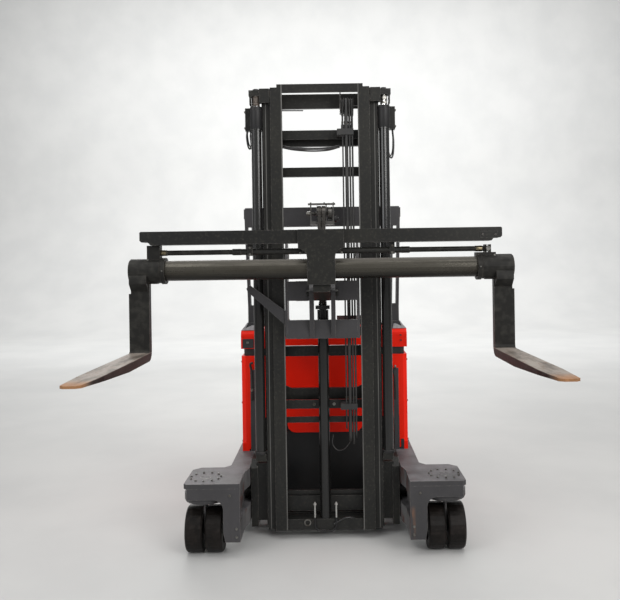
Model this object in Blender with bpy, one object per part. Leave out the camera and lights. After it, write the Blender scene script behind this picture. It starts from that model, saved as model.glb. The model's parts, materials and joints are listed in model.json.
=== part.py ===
# Multidirectional forklift: a four-way reach truck with a three-stage mast and
# a telescopic fork positioner. Metres, +Z up, the forks point to -Y, and +X is
# the right side as seen from in front of the forks. Y is counted from the
# steering axis of the load wheels; the root empty then moves the whole truck so
# that its origin lies on the floor under the middle of its outline.

import math

import bmesh
import bpy
from mathutils import Matrix, Vector

# Clearances
SEAT = 0.0003          # between pieces that are bolted or seated on each other
RUNNING = 0.0008       # in bores that turn or slide
SLIDE = 0.0008         # round the tube that the forks slide on
CLEAR = 0.006          # round a moving piece

# Load wheels: twin tyres on each side, steered about a vertical axis
LOAD_R = 0.1425
LOAD_TREAD = 0.105
LOAD_GAP = 0.020
LOAD_X = 0.755
LOAD_HUB_R = 0.095
LOAD_RECESS_R = 0.040
LOAD_AXLE_R = 0.018
TURN_R = 0.132
TURN_Z = 0.328
LOAD_TWIN = 2 * LOAD_TREAD + LOAD_GAP

# Drive wheel at the rear, steered about a vertical axis
WHEELBASE = 1.60
DRIVE_R = 0.1715
DRIVE_W = 0.140
DRIVE_HUB_R = 0.115
GEAR_X0 = DRIVE_W / 2 + CLEAR
GEAR_W = 0.055

# Load arms and their heads over the load wheels
HALF_WIDTH = LOAD_X + LOAD_TWIN / 2
ARM_X0 = 0.500
HEAD_X0 = 0.523
ARM_X1 = 0.630
ARM_WELL_X = 0.563
ARM_Z0 = 0.103
ARM_Z1 = 0.462
ARM_REAR = 1.060
HEAD_FRONT = -0.153
HEAD_REAR = 0.227
HEAD_PLATE = 0.030
LIP_T = 0.012
LIP_Z = 0.364
LEG_X = 0.627
WELL_REAR = 0.200
TRACK_DEPTH = 0.050
RAIL_Z = 0.2195

# Chassis, battery and bodywork
BODY_FRONT = 0.672
BODY_REAR = WHEELBASE + 0.280
BODY_X = 0.600
WALL = 0.025
PANEL_T = 0.018
TRAY_Z = 0.205
DECK_Z0 = 2 * DRIVE_R + 0.057
DECK_Z1 = DECK_Z0 + 0.040
BATTERY_REAR = ARM_REAR
APRON_Z = 0.590
PANEL_Z = 1.147
HOOD_Z0 = 1.200
HOOD_Z1 = 1.330
SIDE_Z = 1.150

# Operator's place
COVER_X = 0.160
SEAT_X0 = -0.500
SEAT_X1 = 0.020
SEAT_Y0 = WHEELBASE - 0.300
SEAT_Y1 = WHEELBASE + 0.155
SEAT_Z0 = 0.840
SEAT_Z1 = 0.945
BACK_Z = 1.560
WHEEL_X = 0.300
WHEEL_Y = WHEELBASE + 0.080
WHEEL_Z = 1.010
WHEEL_RIM = 0.105

# Overhead guard
GUARD_Z1 = 2.220
GUARD_Z0 = 2.080
GUARD_FRONT = 0.690
GUARD_REAR = BODY_REAR - 0.040
GUARD_X = 0.571
GUARD_LOW_X = 0.549
POST_T = 0.021
POST_D = 0.060
POST_GAP = 0.028
GUSSET_Z = 1.510
FOOT_Z = 1.385
SLATS = 7

# Reach: the mast stands on a carriage that rolls forward between the arms
REACH = 0.420
PLATE_X0 = 0.450
PLATE_X1 = ARM_X0 - CLEAR
CARRIAGE_Y0 = 0.240
CARRIAGE_Y1 = 0.655
CARRIAGE_Z0 = 0.060
CARRIAGE_Z1 = 0.500
ROLLER_R = 0.060
TRACK_END = 0.006
ROLLER_Y = (HEAD_FRONT + LIP_T + TRACK_END + ROLLER_R + 0.017 + REACH, CARRIAGE_Y1 - ROLLER_R - 0.001)
BEAM_Y0 = 0.400
BEAM_Y1 = 0.455
REACH_CYL_R = 0.032
REACH_ROD_R = 0.016
REACH_CYL_Z = 0.150

# Mast: three stages, one inside the other, each a pair of channel rails
MAST_Z0 = 0.060
MAST_Z1 = 2.985
STEEL = 0.016
STAGE_STEP = 0.035
INNER_Y = 0.150
STAGE_DEPTH = 0.120
LIFT = 1.950

# Side lift cylinders
LIFT_X = 0.421
LIFT_Y = 0.185
LIFT_R = 0.034
LIFT_ROD_R = 0.020
LIFT_Z0 = 0.562
LIFT_Z1 = 2.840
GLAND_R = 0.038
GLAND_L = 0.150
ROD_TOP = 2.912
OUTER_TOP = 2.715

# Free lift: one cylinder in the middle of the inner stage
FREE_Y = 0.205
FREE_R = 0.036
FREE_ROD_R = 0.021
PULLEY_R = 0.045
PULLEY_Z = 2.138
CHAIN_W = 0.052
CHAIN_T = 0.012
FREE_LOW = -0.550
FREE_HIGH = 0.300
FREE_Z1 = PULLEY_Z + FREE_LOW - PULLEY_R - 0.040
ANCHOR_Z = 0.896
INNER_BEAM = 0.012
STAGE_CHAIN_X = 0.275
STAGE_CHAIN_W = 0.020
STAGE_PULLEY_Z = OUTER_TOP + 0.165
STAGE_PULLEY_R = 0.026
SHEAVE_Y = 0.213
SHEAVE_Z = 2.843
SHEAVE_R = 0.060
HOSE_BEND = 0.048
LOOP_R = 0.035
INNER_TOP_BEAM = (2.640, 2.700)
ANCHOR_H = 0.058

# Lift carriage, drawn at the height of the photograph
SIDE_X0 = 0.225
SIDE_X1 = 0.240
SIDE_Y0 = 0.060
SIDE_Y1 = 0.248
SIDE_Z0 = 1.326
SIDE_Z1 = 1.950
MAST_ROLLER_R = 0.0425
BAR_T = 0.030
CHEEK_X0 = 0.055
CHEEK_X1 = 0.083
TILT_Y = 0.030
TILT_Z = 1.620
TILT_PIN_R = 0.022
LUG_Y = 0.162
LUG_Z = 1.695

# Fork positioner
SPREADER_X = 1.062
TUBE_R = 0.060
TUBE_Y = -0.300
TUBE_Z = 1.776
TUBE_X = 1.126
BEAM_FRONT = -0.360
BEAM_BACK = -0.262
BEAM_LOW = 1.927
BEAM_HIGH = 2.007
SLEEVE_R = 0.0725
SLEEVE_X0 = 0.918
SLEEVE_X1 = 1.132
POSITIONER_Z = 1.882
POSITIONER_R = 0.0185
POSITIONER_ROD_R = 0.015
POSITIONER_X1 = 0.525
EYE_X = 0.985
FORK_STROKE = 0.380
POSITIONER_X0 = POSITIONER_X1 - FORK_STROKE - 0.053

# Forks
FORK_X0 = 1.018
FORK_W = 0.120
FORK_TIP_W = 0.092
FORK_T = 0.048
FORK_TIP_T = 0.012
FORK_BACK = TUBE_Y + 0.024
FORK_FRONT = FORK_BACK - FORK_T
FORK_LENGTH = 1.185
FORK_TIP = FORK_FRONT - FORK_LENGTH
FORK_TOP = 1.293
HEEL_R = 0.062

MID_Y = (FORK_TIP + BODY_REAR) / 2
SIDES = (("left", -1), ("right", 1))

# Axes of an outline and of the direction it is drawn out in
PLANES = {"X": (1, 2, 0), "Y": (0, 2, 1), "Z": (0, 1, 2)}


def solid(bm):
    """Turn a bmesh into a loose piece with its faces pointing out."""
    bmesh.ops.recalc_face_normals(bm, faces=bm.faces)
    mesh = bpy.data.meshes.new("piece")
    bm.to_mesh(mesh)
    bm.free()
    piece = bpy.data.objects.new("piece", mesh)
    bpy.context.scene.collection.objects.link(piece)
    return piece


def prism(outline, axis, start, end):
    """An outline drawn out along one axis; its points lie in the other two."""
    first, second, along = PLANES[axis]
    bm = bmesh.new()
    rings = []
    for level in (start, end):
        ring = []
        for a, b in outline:
            point = [0.0, 0.0, 0.0]
            point[first] = a
            point[second] = b
            point[along] = level
            ring.append(bm.verts.new(point))
        rings.append(ring)
        bm.faces.new(ring)
    count = len(outline)
    for i in range(count):
        j = (i + 1) % count
        bm.faces.new((rings[0][i], rings[0][j], rings[1][j], rings[1][i]))
    return solid(bm)


def box(x0, x1, y0, y1, z0, z1):
    return prism(((x0, y0), (x1, y0), (x1, y1), (x0, y1)), "Z", z0, z1)


def mirrored_box(side, x0, x1, y0, y1, z0, z1):
    """A box given for the right side, drawn on the side that is asked for."""
    return box(min(side * x0, side * x1), max(side * x0, side * x1), y0, y1, z0, z1)


def turned(outline, axis, centre, sides=24, flat_down=False):
    """A turned piece. The outline holds (place along the axis, radius) points.
    With flat_down its flats, not its corners, lie at the given radius."""
    first, second, along = PLANES[axis]
    grow = 1 / math.cos(math.pi / sides) if flat_down else 1.0
    phase = 0.5 if flat_down else 0.0
    bm = bmesh.new()
    rings = []
    for place, radius in outline:
        steps = 1 if radius < 1e-9 else sides
        ring = []
        for step in range(steps):
            angle = 2 * math.pi * (step + phase) / sides
            point = [0.0, 0.0, 0.0]
            point[first] = centre[0] + radius * grow * math.cos(angle)
            point[second] = centre[1] + radius * grow * math.sin(angle)
            point[along] = place
            ring.append(bm.verts.new(point))
        rings.append(ring)
    for index, ring in enumerate(rings):
        after = rings[(index + 1) % len(rings)]
        if len(ring) == 1 and len(after) == 1:
            continue
        for step in range(sides):
            following = (step + 1) % sides
            face = [ring[step % len(ring)], ring[following % len(ring)],
                    after[following % len(after)], after[step % len(after)]]
            bm.faces.new(list(dict.fromkeys(face)))
    return solid(bm)


def drum(axis, centre, radius, start, end, sides=24):
    """A plain cylinder along an axis through the centre."""
    outline = ((start, 0), (start, radius), (end, radius), (end, 0))
    return turned(outline, axis, centre, sides)


def rod(start, end, radius, sides=12):
    """A round bar between two points in space."""
    start = Vector(start)
    run = Vector(end) - start
    turn = run.to_track_quat("Z", "Y").to_matrix().to_4x4()
    bm = bmesh.new()
    bmesh.ops.create_cone(bm, cap_ends=True, segments=sides, radius1=radius, radius2=radius,
                          depth=run.length, matrix=Matrix.Translation(start + run / 2) @ turn)
    return solid(bm)


def hose(points, radius):
    """A hose along a smooth route that goes through the points."""
    curve = bpy.data.curves.new("hose", "CURVE")
    curve.dimensions = "3D"
    curve.bevel_depth = radius
    curve.bevel_resolution = 1
    curve.use_fill_caps = True
    spline = curve.splines.new("POLY")
    spline.points.add(len(points) - 1)
    for target, point in zip(spline.points, points):
        target.co = (*point, 1.0)
    guide = bpy.data.objects.new("hose", curve)
    bpy.context.scene.collection.objects.link(guide)
    graph = bpy.context.evaluated_depsgraph_get()
    mesh = bpy.data.meshes.new_from_object(guide.evaluated_get(graph))
    bpy.data.objects.remove(guide)
    bm = bmesh.new()
    bm.from_mesh(mesh)
    bmesh.ops.remove_doubles(bm, verts=bm.verts, dist=0.00001)
    return solid(bm)


def arc(centre_a, centre_b, radius, start, end, steps=4):
    """Points along an arc, with the angles in degrees."""
    points = []
    for step in range(steps + 1):
        angle = math.radians(start + (end - start) * step / steps)
        points.append((centre_a + radius * math.cos(angle), centre_b + radius * math.sin(angle)))
    return points


def rounded(a0, a1, b0, b1, radius, steps=3):
    """A rectangle's outline with round corners."""
    return (arc(a1 - radius, b1 - radius, radius, 0, 90, steps)
            + arc(a0 + radius, b1 - radius, radius, 90, 180, steps)
            + arc(a0 + radius, b0 + radius, radius, 180, 270, steps)
            + arc(a1 - radius, b0 + radius, radius, 270, 360, steps))


def shaped(base, tools, operation):
    """Unite the pieces, or cut or trim the base with the tools."""
    if not tools:
        return base
    for tool in tools:
        step = base.modifiers.new(operation, "BOOLEAN")
        step.operation = operation
        step.solver = "EXACT"
        step.object = tool
    graph = bpy.context.evaluated_depsgraph_get()
    mesh = bpy.data.meshes.new_from_object(base.evaluated_get(graph))
    for used in (base, *tools):
        bpy.data.objects.remove(used)
    piece = bpy.data.objects.new("piece", mesh)
    bpy.context.scene.collection.objects.link(piece)
    return piece


def unite(pieces):
    return shaped(pieces[0], pieces[1:], "UNION")


def cut(piece, tools):
    return shaped(piece, tools, "DIFFERENCE")


def trim(piece, tool):
    return shaped(piece, [tool], "INTERSECT")


PAINTS = {
    "red": ((0.58, 0.012, 0.008), 0.42, 0.0),
    "anthracite": ((0.055, 0.052, 0.056), 0.55, 0.0),
    "mast_grey": ((0.045, 0.043, 0.041), 0.50, 0.0),
    "black": ((0.012, 0.012, 0.013), 0.60, 0.0),
    "tread": ((0.030, 0.020, 0.016), 0.65, 0.0),
    "steel": ((0.42, 0.40, 0.38), 0.32, 1.0),
    "chrome": ((0.75, 0.75, 0.75), 0.12, 1.0),
    "greased": ((0.16, 0.12, 0.07), 0.38, 1.0),
    "blade": ((0.34, 0.27, 0.20), 0.45, 1.0),
    "vinyl": ((0.020, 0.020, 0.022), 0.70, 0.0),
}


def material(name):
    """The paint of that name, made once."""
    if name in bpy.data.materials:
        return bpy.data.materials[name]
    colour, roughness, metallic = PAINTS[name]
    made = bpy.data.materials.new(name)
    made.use_nodes = True
    shader = made.node_tree.nodes["Principled BSDF"]
    shader.inputs["Base Color"].default_value = (*colour, 1.0)
    shader.inputs["Roughness"].default_value = roughness
    shader.inputs["Metallic"].default_value = metallic
    return made


def joint_empty(name, parent, at):
    """The empty that a moving body hangs on, placed on its joint's axis."""
    empty = bpy.data.objects.new(name, None)
    bpy.context.scene.collection.objects.link(empty)
    empty.parent = parent
    empty["axis_at"] = at
    start = Vector(parent["axis_at"]) if parent else Vector((0, MID_Y, 0))
    empty.location = Vector(at) - start
    return empty


def add(name, body, piece, paint):
    """Name a finished piece, paint it and hang it on its body."""
    piece.name = name
    piece.data.name = name
    piece.data.materials.clear()
    piece.data.materials.append(material(paint))
    piece.data.shade_smooth()
    piece.data.set_sharp_from_angle(angle=math.radians(35))
    piece.parent = body
    piece.location = -Vector(body["axis_at"])


def load_arm(side):
    """A load arm: a roller track that opens inward, the head over the load
    wheels, its front leg and the lip that closes the wheel well in front."""
    outer = ((ARM_WELL_X, HEAD_FRONT + LIP_T), (ARM_WELL_X, WELL_REAR), (ARM_X1, WELL_REAR + 0.05),
             (ARM_X1, ARM_REAR), (ARM_X0, ARM_REAR), (ARM_X0, 0.200), (HEAD_X0, 0.100),
             (HEAD_X0, HEAD_FRONT + LIP_T))
    outline = [(side * x, y) for x, y in outer]
    pieces = [prism(outline, "Z", ARM_Z0, ARM_Z1)]
    plate = [(side * x, y) for x, y in
             ((HEAD_X0, HEAD_FRONT), (HALF_WIDTH - 0.02, HEAD_FRONT), (HALF_WIDTH, HEAD_FRONT + 0.02),
              (HALF_WIDTH, HEAD_REAR - 0.05), (HALF_WIDTH - 0.05, HEAD_REAR),
              (ARM_X1 + 0.04, HEAD_REAR), (ARM_X1, HEAD_REAR + 0.05), (ARM_X0, HEAD_REAR + 0.05),
              (ARM_X0, 0.200), (HEAD_X0, 0.100))]
    pieces.append(prism(plate, "Z", ARM_Z1 - HEAD_PLATE, ARM_Z1))
    corner = [(side * a, b) for a, b in arc(LEG_X + 0.06, LIP_Z - 0.06, 0.06, 90, 180)]
    front = [(side * HEAD_X0, ARM_Z0), (side * (LEG_X - 0.012), ARM_Z0), (side * LEG_X, ARM_Z0 + 0.06)]
    front += corner[::-1]
    lip_x = HALF_WIDTH - 0.02
    front += [(side * lip_x, LIP_Z), (side * lip_x, ARM_Z1 - 0.005), (side * HEAD_X0, ARM_Z1 - 0.005)]
    pieces.append(prism(front, "Y", HEAD_FRONT + 0.001, HEAD_FRONT + LIP_T + 0.001))
    pieces.append(mirrored_box(side, ARM_WELL_X - 0.002, HALF_WIDTH - 0.06, WELL_REAR - 0.010,
                               WELL_REAR + 0.012, LIP_Z - 0.030, ARM_Z1 - 0.010))
    low, high = RAIL_Z, RAIL_Z + 2 * ROLLER_R + CLEAR
    upright_y = BODY_FRONT - PANEL_T - 2 * SEAT
    pieces.append(mirrored_box(side, ARM_X0, ARM_X0 + 0.035, upright_y - 0.014, upright_y,
                               ARM_Z1 - 0.005, 1.048))
    track = mirrored_box(side, ARM_X0 - 0.01, ARM_X0 + TRACK_DEPTH, HEAD_FRONT + LIP_T + TRACK_END,
                         CARRIAGE_Y1 + 0.012, low, high)
    return cut(unite(pieces), [track])


def chassis_frame():
    """Battery tray between the arms, the deck over the drive wheel, skirts,
    the apron in front of the battery and the rear bumper."""
    inside = ARM_X0 - SEAT
    pieces = [
        box(-inside, inside, BODY_FRONT, BATTERY_REAR + 0.05, ARM_Z0, TRAY_Z),
        box(-inside, inside, BODY_FRONT, BODY_FRONT + 0.018, TRAY_Z - 0.01, APRON_Z),
        box(-inside, inside, BATTERY_REAR, BATTERY_REAR + 0.03, TRAY_Z - 0.01, DECK_Z0 + 0.01),
        box(-inside, inside, BATTERY_REAR, ARM_REAR + 0.03, DECK_Z0, DECK_Z1),
        box(-BODY_X, BODY_X, ARM_REAR + SEAT, BODY_REAR - 0.04, DECK_Z0, DECK_Z1),
        box(-BODY_X, BODY_X, BODY_REAR - 0.045, BODY_REAR, 0.16, DECK_Z1),
    ]
    for _, side in SIDES:
        pieces.append(mirrored_box(side, BODY_X - 0.03, BODY_X, ARM_REAR + SEAT, BODY_REAR - 0.03,
                                   0.16, DECK_Z1 - 0.005))
        pieces.append(mirrored_box(side, inside - 0.05, BODY_X - 0.02, ARM_REAR + SEAT,
                                   ARM_REAR + 0.03, 0.16, DECK_Z1 - 0.005))
    cylinder = drum("Y", (0, REACH_CYL_Z), REACH_CYL_R + SEAT, BODY_FRONT - 0.02, BATTERY_REAR + 0.1, 20)
    frame = cut(unite(pieces), [cylinder])
    corners = ((BODY_X + 0.001, BODY_REAR + 0.001), (BODY_X + 0.001, BODY_REAR - 0.07),
               (BODY_X - 0.07, BODY_REAR + 0.001))
    chamfers = [prism([(side * x, y) for x, y in corners], "Z", 0.1, DECK_Z1 + 0.01) for _, side in SIDES]
    return cut(frame, chamfers)


def battery():
    """The drive battery, as one plain block."""
    return box(-0.470, 0.470, BODY_FRONT + 0.03, BATTERY_REAR - 0.03, TRAY_Z + SEAT, PANEL_Z - 0.10)


def battery_panel():
    """The red wall round the front and the sides of the battery, with the
    rounded tongue that comes down over the apron."""
    t = PANEL_T
    rear = BATTERY_REAR - SEAT
    front = BODY_FRONT - t - SEAT
    shell = ((-BODY_X, rear), (-BODY_X, front + 0.03), (-BODY_X + 0.03, front), (BODY_X - 0.03, front),
             (BODY_X, front + 0.03), (BODY_X, rear), (BODY_X - t, rear), (BODY_X - t, front + 0.036),
             (BODY_X - 0.036, front + t), (-BODY_X + 0.036, front + t), (-BODY_X + t, front + 0.036),
             (-BODY_X + t, rear))
    tongue = [(x, z) for x, z in rounded(-0.272, 0.272, APRON_Z, PANEL_Z, 0.058)]
    low = ARM_Z1 + SEAT
    pieces = [prism(shell, "Z", APRON_Z + 0.11, PANEL_Z), prism(tongue, "Y", front, front + t)]
    corner = ((ARM_X0 + 0.038, front), (BODY_X - 0.03, front), (BODY_X, front + 0.03), (BODY_X, BODY_FRONT + 0.08),
              (BODY_X - t, BODY_FRONT + 0.08), (BODY_X - t, front + 0.036), (BODY_X - 0.036, front + t),
              (ARM_X0 + 0.038, front + t))
    for _, side in SIDES:
        pieces.append(mirrored_box(side, BODY_X - t, BODY_X, BODY_FRONT + 0.07, rear, low, APRON_Z + 0.12))
        pieces.append(prism([(side * x, y) for x, y in corner], "Z", ARM_Z1 + 0.012, APRON_Z + 0.12))
    return unite(pieces)


def hood_seal():
    """The dark recessed frame between the battery wall and the hood."""
    x = BODY_X - PANEL_T - SEAT
    y = BODY_FRONT
    outline = ((-x, BATTERY_REAR - 0.012), (-x, y + 0.02), (-x + 0.02, y), (x - 0.02, y), (x, y + 0.02),
               (x, BATTERY_REAR - 0.012))
    outer = prism(outline, "Z", PANEL_Z - 0.03, HOOD_Z0 - SEAT)
    inner = box(-x + 0.03, x - 0.03, y + 0.03, BATTERY_REAR - 0.04, PANEL_Z - 0.05, HOOD_Z0 - 0.015)
    return cut(outer, [inner])


def battery_hood():
    """The red hood over the battery, rounded along its front edge."""
    front = BODY_FRONT - PANEL_T
    rear = BATTERY_REAR - SEAT
    profile = [(rear, HOOD_Z0), (rear, HOOD_Z1)]
    profile += arc(front + 0.04, HOOD_Z1 - 0.04, 0.04, 90, 180)
    profile += [(front, HOOD_Z0)]
    hood = prism(profile, "X", -BODY_X, BODY_X)
    hollow = box(-BODY_X + 0.03, BODY_X - 0.03, front + 0.03, rear - 0.03, HOOD_Z0 - 0.01, HOOD_Z0 + 0.09)
    return cut(hood, [hollow])


def cab_shell():
    """The operator's tub: the closed left wall, the rear wall and the front
    wall against the battery, open to the right, each as thick as the real
    panel."""
    front = BATTERY_REAR + SEAT
    low = DECK_Z1 + SEAT
    pieces = [
        box(-BODY_X, -BODY_X + WALL, front, BODY_REAR - 0.075, low, SIDE_Z),
        box(-BODY_X, BODY_X, front, front + WALL, low, HOOD_Z1 - 0.03),
    ]
    rear = [(-BODY_X, BODY_REAR - 0.08), (-BODY_X + 0.075, BODY_REAR - 0.005),
            (BODY_X - 0.075, BODY_REAR - 0.005), (BODY_X, BODY_REAR - 0.08),
            (BODY_X - WALL, BODY_REAR - 0.09), (BODY_X - 0.085, BODY_REAR - 0.03),
            (-BODY_X + 0.085, BODY_REAR - 0.03), (-BODY_X + WALL, BODY_REAR - 0.09)]
    pieces.append(prism(rear, "Z", low, SIDE_Z))
    return unite(pieces)


def motor_cover():
    """The box under the seat, open below over the drive motor."""
    low = DECK_Z1 + SEAT
    x0 = -BODY_X + WALL + 0.002
    y1 = BODY_REAR - 0.032
    outer = box(x0 + 0.06, COVER_X, SEAT_Y0 - 0.03, y1, low, SEAT_Z0 - SEAT)
    inner = box(x0 + 0.085, COVER_X - 0.025, SEAT_Y0, y1 - 0.03, low - 0.01, SEAT_Z0 - 0.03)
    return cut(outer, [inner])


def pedals():
    """The rubber foot plate with three pedals on it."""
    low = DECK_Z1 + SEAT
    pieces = [box(COVER_X + 0.01, BODY_X - 0.01, BATTERY_REAR + 0.04, WHEEL_Y - 0.14, low, low + 0.012)]
    for step in (0.12, 0.24, 0.36):
        y = BATTERY_REAR + step
        foot = ((0.42, low + 0.01), (0.54, low + 0.01), (0.54, low + 0.075), (0.515, low + 0.075))
        pieces.append(prism(foot, "Y", y - 0.04, y + 0.04))
    return unite(pieces)


def seat_cushion():
    bolster = 0.03
    profile = [(SEAT_Y0, SEAT_Z0), (SEAT_Y1, SEAT_Z0)]
    profile += arc(SEAT_Y1 - bolster, SEAT_Z1 - bolster, bolster, 0, 90)
    profile += [(SEAT_Y1 - 0.08, SEAT_Z1 - 0.015), (SEAT_Y0 + 0.08, SEAT_Z1 - 0.015)]
    profile += arc(SEAT_Y0 + bolster, SEAT_Z1 - bolster, bolster, 90, 180)
    return prism(profile, "X", SEAT_X0 + 0.054 + SEAT, SEAT_X1)


def seat_backrest():
    """The backrest, leaning back from the cushion, with its headrest."""
    lean = ((SEAT_X0 - 0.015, SEAT_Z0 + 0.0), (SEAT_X0 + 0.054, SEAT_Z0 + 0.0),
            (SEAT_X0 + 0.054, SEAT_Z1 + 0.05), (SEAT_X0 + 0.025, BACK_Z - 0.22),
            (SEAT_X0 - 0.004, BACK_Z - 0.20), (SEAT_X0 - 0.004, BACK_Z),
            (SEAT_X0 - 0.055, BACK_Z), (SEAT_X0 - 0.065, BACK_Z - 0.2))
    back = prism(lean, "Y", SEAT_Y0, SEAT_Y1)
    outline = [(y, z) for y, z in rounded(SEAT_Y0, SEAT_Y1, SEAT_Z0 - 0.1, BACK_Z - 0.20, 0.09)]
    head = [(y, z) for y, z in rounded(SEAT_Y0 + 0.11, SEAT_Y1 - 0.11, BACK_Z - 0.30, BACK_Z, 0.05)]
    mask = unite([prism(outline, "X", SEAT_X0 - 0.2, SEAT_X0 + 0.2),
                  prism(head, "X", SEAT_X0 - 0.21, SEAT_X0 + 0.21)])
    return trim(back, mask)


def dashboard():
    """The console along the battery wall, with its display and lever stalks."""
    y0 = BATTERY_REAR + WALL + 2 * SEAT
    top = SIDE_Z + 0.06
    profile = ((y0, 0.84), (y0 + 0.10, 0.90), (y0 + 0.20, top - 0.04), (y0 + 0.17, top), (y0, top + 0.04))
    pieces = [prism(profile, "X", -0.30, 0.44)]
    pieces.append(box(0.10, 0.34, y0 + 0.005, y0 + 0.030, top, top + 0.19))
    for x in (-0.22, -0.15, -0.08, -0.01):
        pieces.append(rod((x, y0 + 0.12, top - 0.01), (x, y0 + 0.13, top + 0.085), 0.007, 8))
        pieces.append(drum("Z", (x, y0 + 0.131), 0.014, top + 0.08, top + 0.115, 10))
    return unite(pieces)


def steering_pod():
    """The pod in the rear corner that carries the steering wheel."""
    y1 = BODY_REAR - 0.032
    profile = [(WHEEL_Y - 0.13, DECK_Z1 + SEAT), (WHEEL_Y - 0.13, WHEEL_Z - 0.09), (WHEEL_Y - 0.06, WHEEL_Z - 0.045),
               (y1, WHEEL_Z - 0.045), (y1, DECK_Z1 + SEAT)]
    return prism(profile, "X", WHEEL_X - 0.13, WHEEL_X + 0.12)


def steering_wheel():
    """A small wheel with a spinner knob, on a vertical column."""
    z = WHEEL_Z
    ring = []
    for step in range(8):
        angle = 2 * math.pi * step / 8
        ring.append((z + 0.012 * math.sin(angle), WHEEL_RIM - 0.012 + 0.012 * math.cos(angle)))
    pieces = [turned(ring, "Z", (WHEEL_X, WHEEL_Y), 24),
              drum("Z", (WHEEL_X, WHEEL_Y), 0.030, z - 0.0445, z + 0.006, 16),
              drum("Z", (WHEEL_X + WHEEL_RIM - 0.014, WHEEL_Y), 0.017, z, z + 0.05, 12)]
    for turn in (0, 120, 240):
        angle = math.radians(turn)
        end = (WHEEL_X + 0.094 * math.cos(angle), WHEEL_Y + 0.094 * math.sin(angle), z)
        pieces.append(rod((WHEEL_X, WHEEL_Y, z - 0.005), end, 0.008, 8))
    return unite(pieces)


def drive_motor():
    """The vertical traction motor on the deck, beneath the seat."""
    low = DECK_Z1 + SEAT
    outline = ((low, 0), (low, 0.118), (low + 0.02, 0.118), (low + 0.03, 0.100), (SEAT_Z0 - 0.06, 0.100),
               (SEAT_Z0 - 0.04, 0.085), (SEAT_Z0 - 0.04, 0))
    return turned(outline, "Z", (0, WHEELBASE), 24)


def overhead_guard():
    """The roof and its posts: twin slim front posts on gussets and feet that
    stand on the hood, rear pillars that stand on the tub."""
    top = GUARD_Z1
    rail = 0.055
    pieces = [
        box(-GUARD_X + 0.01, GUARD_X - 0.01, GUARD_FRONT, GUARD_FRONT + POST_D, GUARD_Z0, top),
        box(-GUARD_X + 0.01, GUARD_X - 0.01, GUARD_REAR - rail, GUARD_REAR, top - 0.075, top - 0.012),
    ]
    for index in range(SLATS):
        x = -0.42 + 0.84 * index / (SLATS - 1)
        pieces.append(box(x - 0.013, x + 0.013, GUARD_FRONT + 0.02, GUARD_REAR - 0.02, top - 0.062, top - 0.022))
    for _, side in SIDES:
        outer = GUARD_X
        foot_x = GUARD_LOW_X
        inner = foot_x - POST_T - POST_GAP
        pieces.append(mirrored_box(side, outer - rail, outer, GUARD_FRONT + 0.01, GUARD_REAR - 0.005,
                                   top - 0.078, top - 0.008))
        for shift in (0.0, POST_T + POST_GAP):
            high, low = outer - 0.003 - shift, foot_x - shift
            post = ((high, top - 0.02), (high - POST_T, top - 0.02), (low - POST_T, GUSSET_Z - 0.01),
                    (low, GUSSET_Z - 0.01))
            pieces.append(prism([(side * x, z) for x, z in post], "Y", GUARD_FRONT + 0.003,
                                GUARD_FRONT + POST_D))
        pieces.append(mirrored_box(side, inner - POST_T, foot_x, GUARD_FRONT + 0.004,
                                   GUARD_FRONT + POST_D + 0.01, FOOT_Z - 0.005, GUSSET_Z))
        foot = [(side * x, z) for x, z in ((inner - POST_T - 0.005, FOOT_Z), (foot_x + 0.004, FOOT_Z),
                                           (BODY_X - 0.005, HOOD_Z1 + SEAT),
                                           (inner - POST_T - 0.03, HOOD_Z1 + SEAT))]
        pieces.append(prism(foot, "Y", GUARD_FRONT - 0.005, GUARD_FRONT + POST_D + 0.03))
        pieces.append(mirrored_box(side, outer - rail + 0.005, outer - 0.004, GUARD_REAR - 0.05,
                                   GUARD_REAR - 0.002, SIDE_Z + SEAT, top - 0.02))
        pieces.append(mirrored_box(side, outer - rail - 0.015, outer + 0.01, GUARD_REAR - 0.07,
                                   GUARD_REAR + 0.010, SIDE_Z + SEAT, SIDE_Z + 0.02))
    return unite(pieces)


def reach_cylinder():
    """The barrel of the reach cylinder, under the battery, open in front."""
    outline = ((BODY_FRONT - 0.01, REACH_ROD_R + RUNNING), (BODY_FRONT - 0.01, REACH_CYL_R),
               (BATTERY_REAR + 0.10, REACH_CYL_R), (BATTERY_REAR + 0.10, 0),
               (BATTERY_REAR + 0.085, 0), (BATTERY_REAR + 0.085, REACH_ROD_R + RUNNING))
    return turned(outline, "Y", (0, REACH_CYL_Z), 20)


def steer_yoke(side):
    """A load wheel's turntable with the thin leg that stands between the tyres."""
    x = side * LOAD_X
    outline = ((TURN_Z, 0), (TURN_Z, TURN_R - 0.006), (TURN_Z + 0.012, TURN_R), (TURN_Z + 0.055, TURN_R),
               (TURN_Z + 0.062, TURN_R - 0.018), (ARM_Z1 - HEAD_PLATE - RUNNING, TURN_R - 0.018),
               (ARM_Z1 - HEAD_PLATE - RUNNING, 0))
    leg = [(y, z) for y, z in arc(0, LOAD_R, 0.045, 180, 360, 8)]
    leg += [(0.065, TURN_Z - 0.03), (0.065, TURN_Z + 0.01), (-0.065, TURN_Z + 0.01), (-0.065, TURN_Z - 0.03)]
    half = LOAD_GAP / 2 - 0.005
    pieces = [turned(outline, "Z", (x, 0), 32), prism(leg, "X", x - half, x + half),
              box(x - 0.055, x + 0.055, -0.055, 0.055, TURN_Z - 0.022, TURN_Z + 0.01),
              drum("X", (0, LOAD_R), 0.030, x - 0.030, x + 0.030, 16)]
    bore = drum("X", (0, LOAD_R), LOAD_AXLE_R + RUNNING, x - 0.05, x + 0.05, 16)
    return cut(unite(pieces), [bore])


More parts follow.
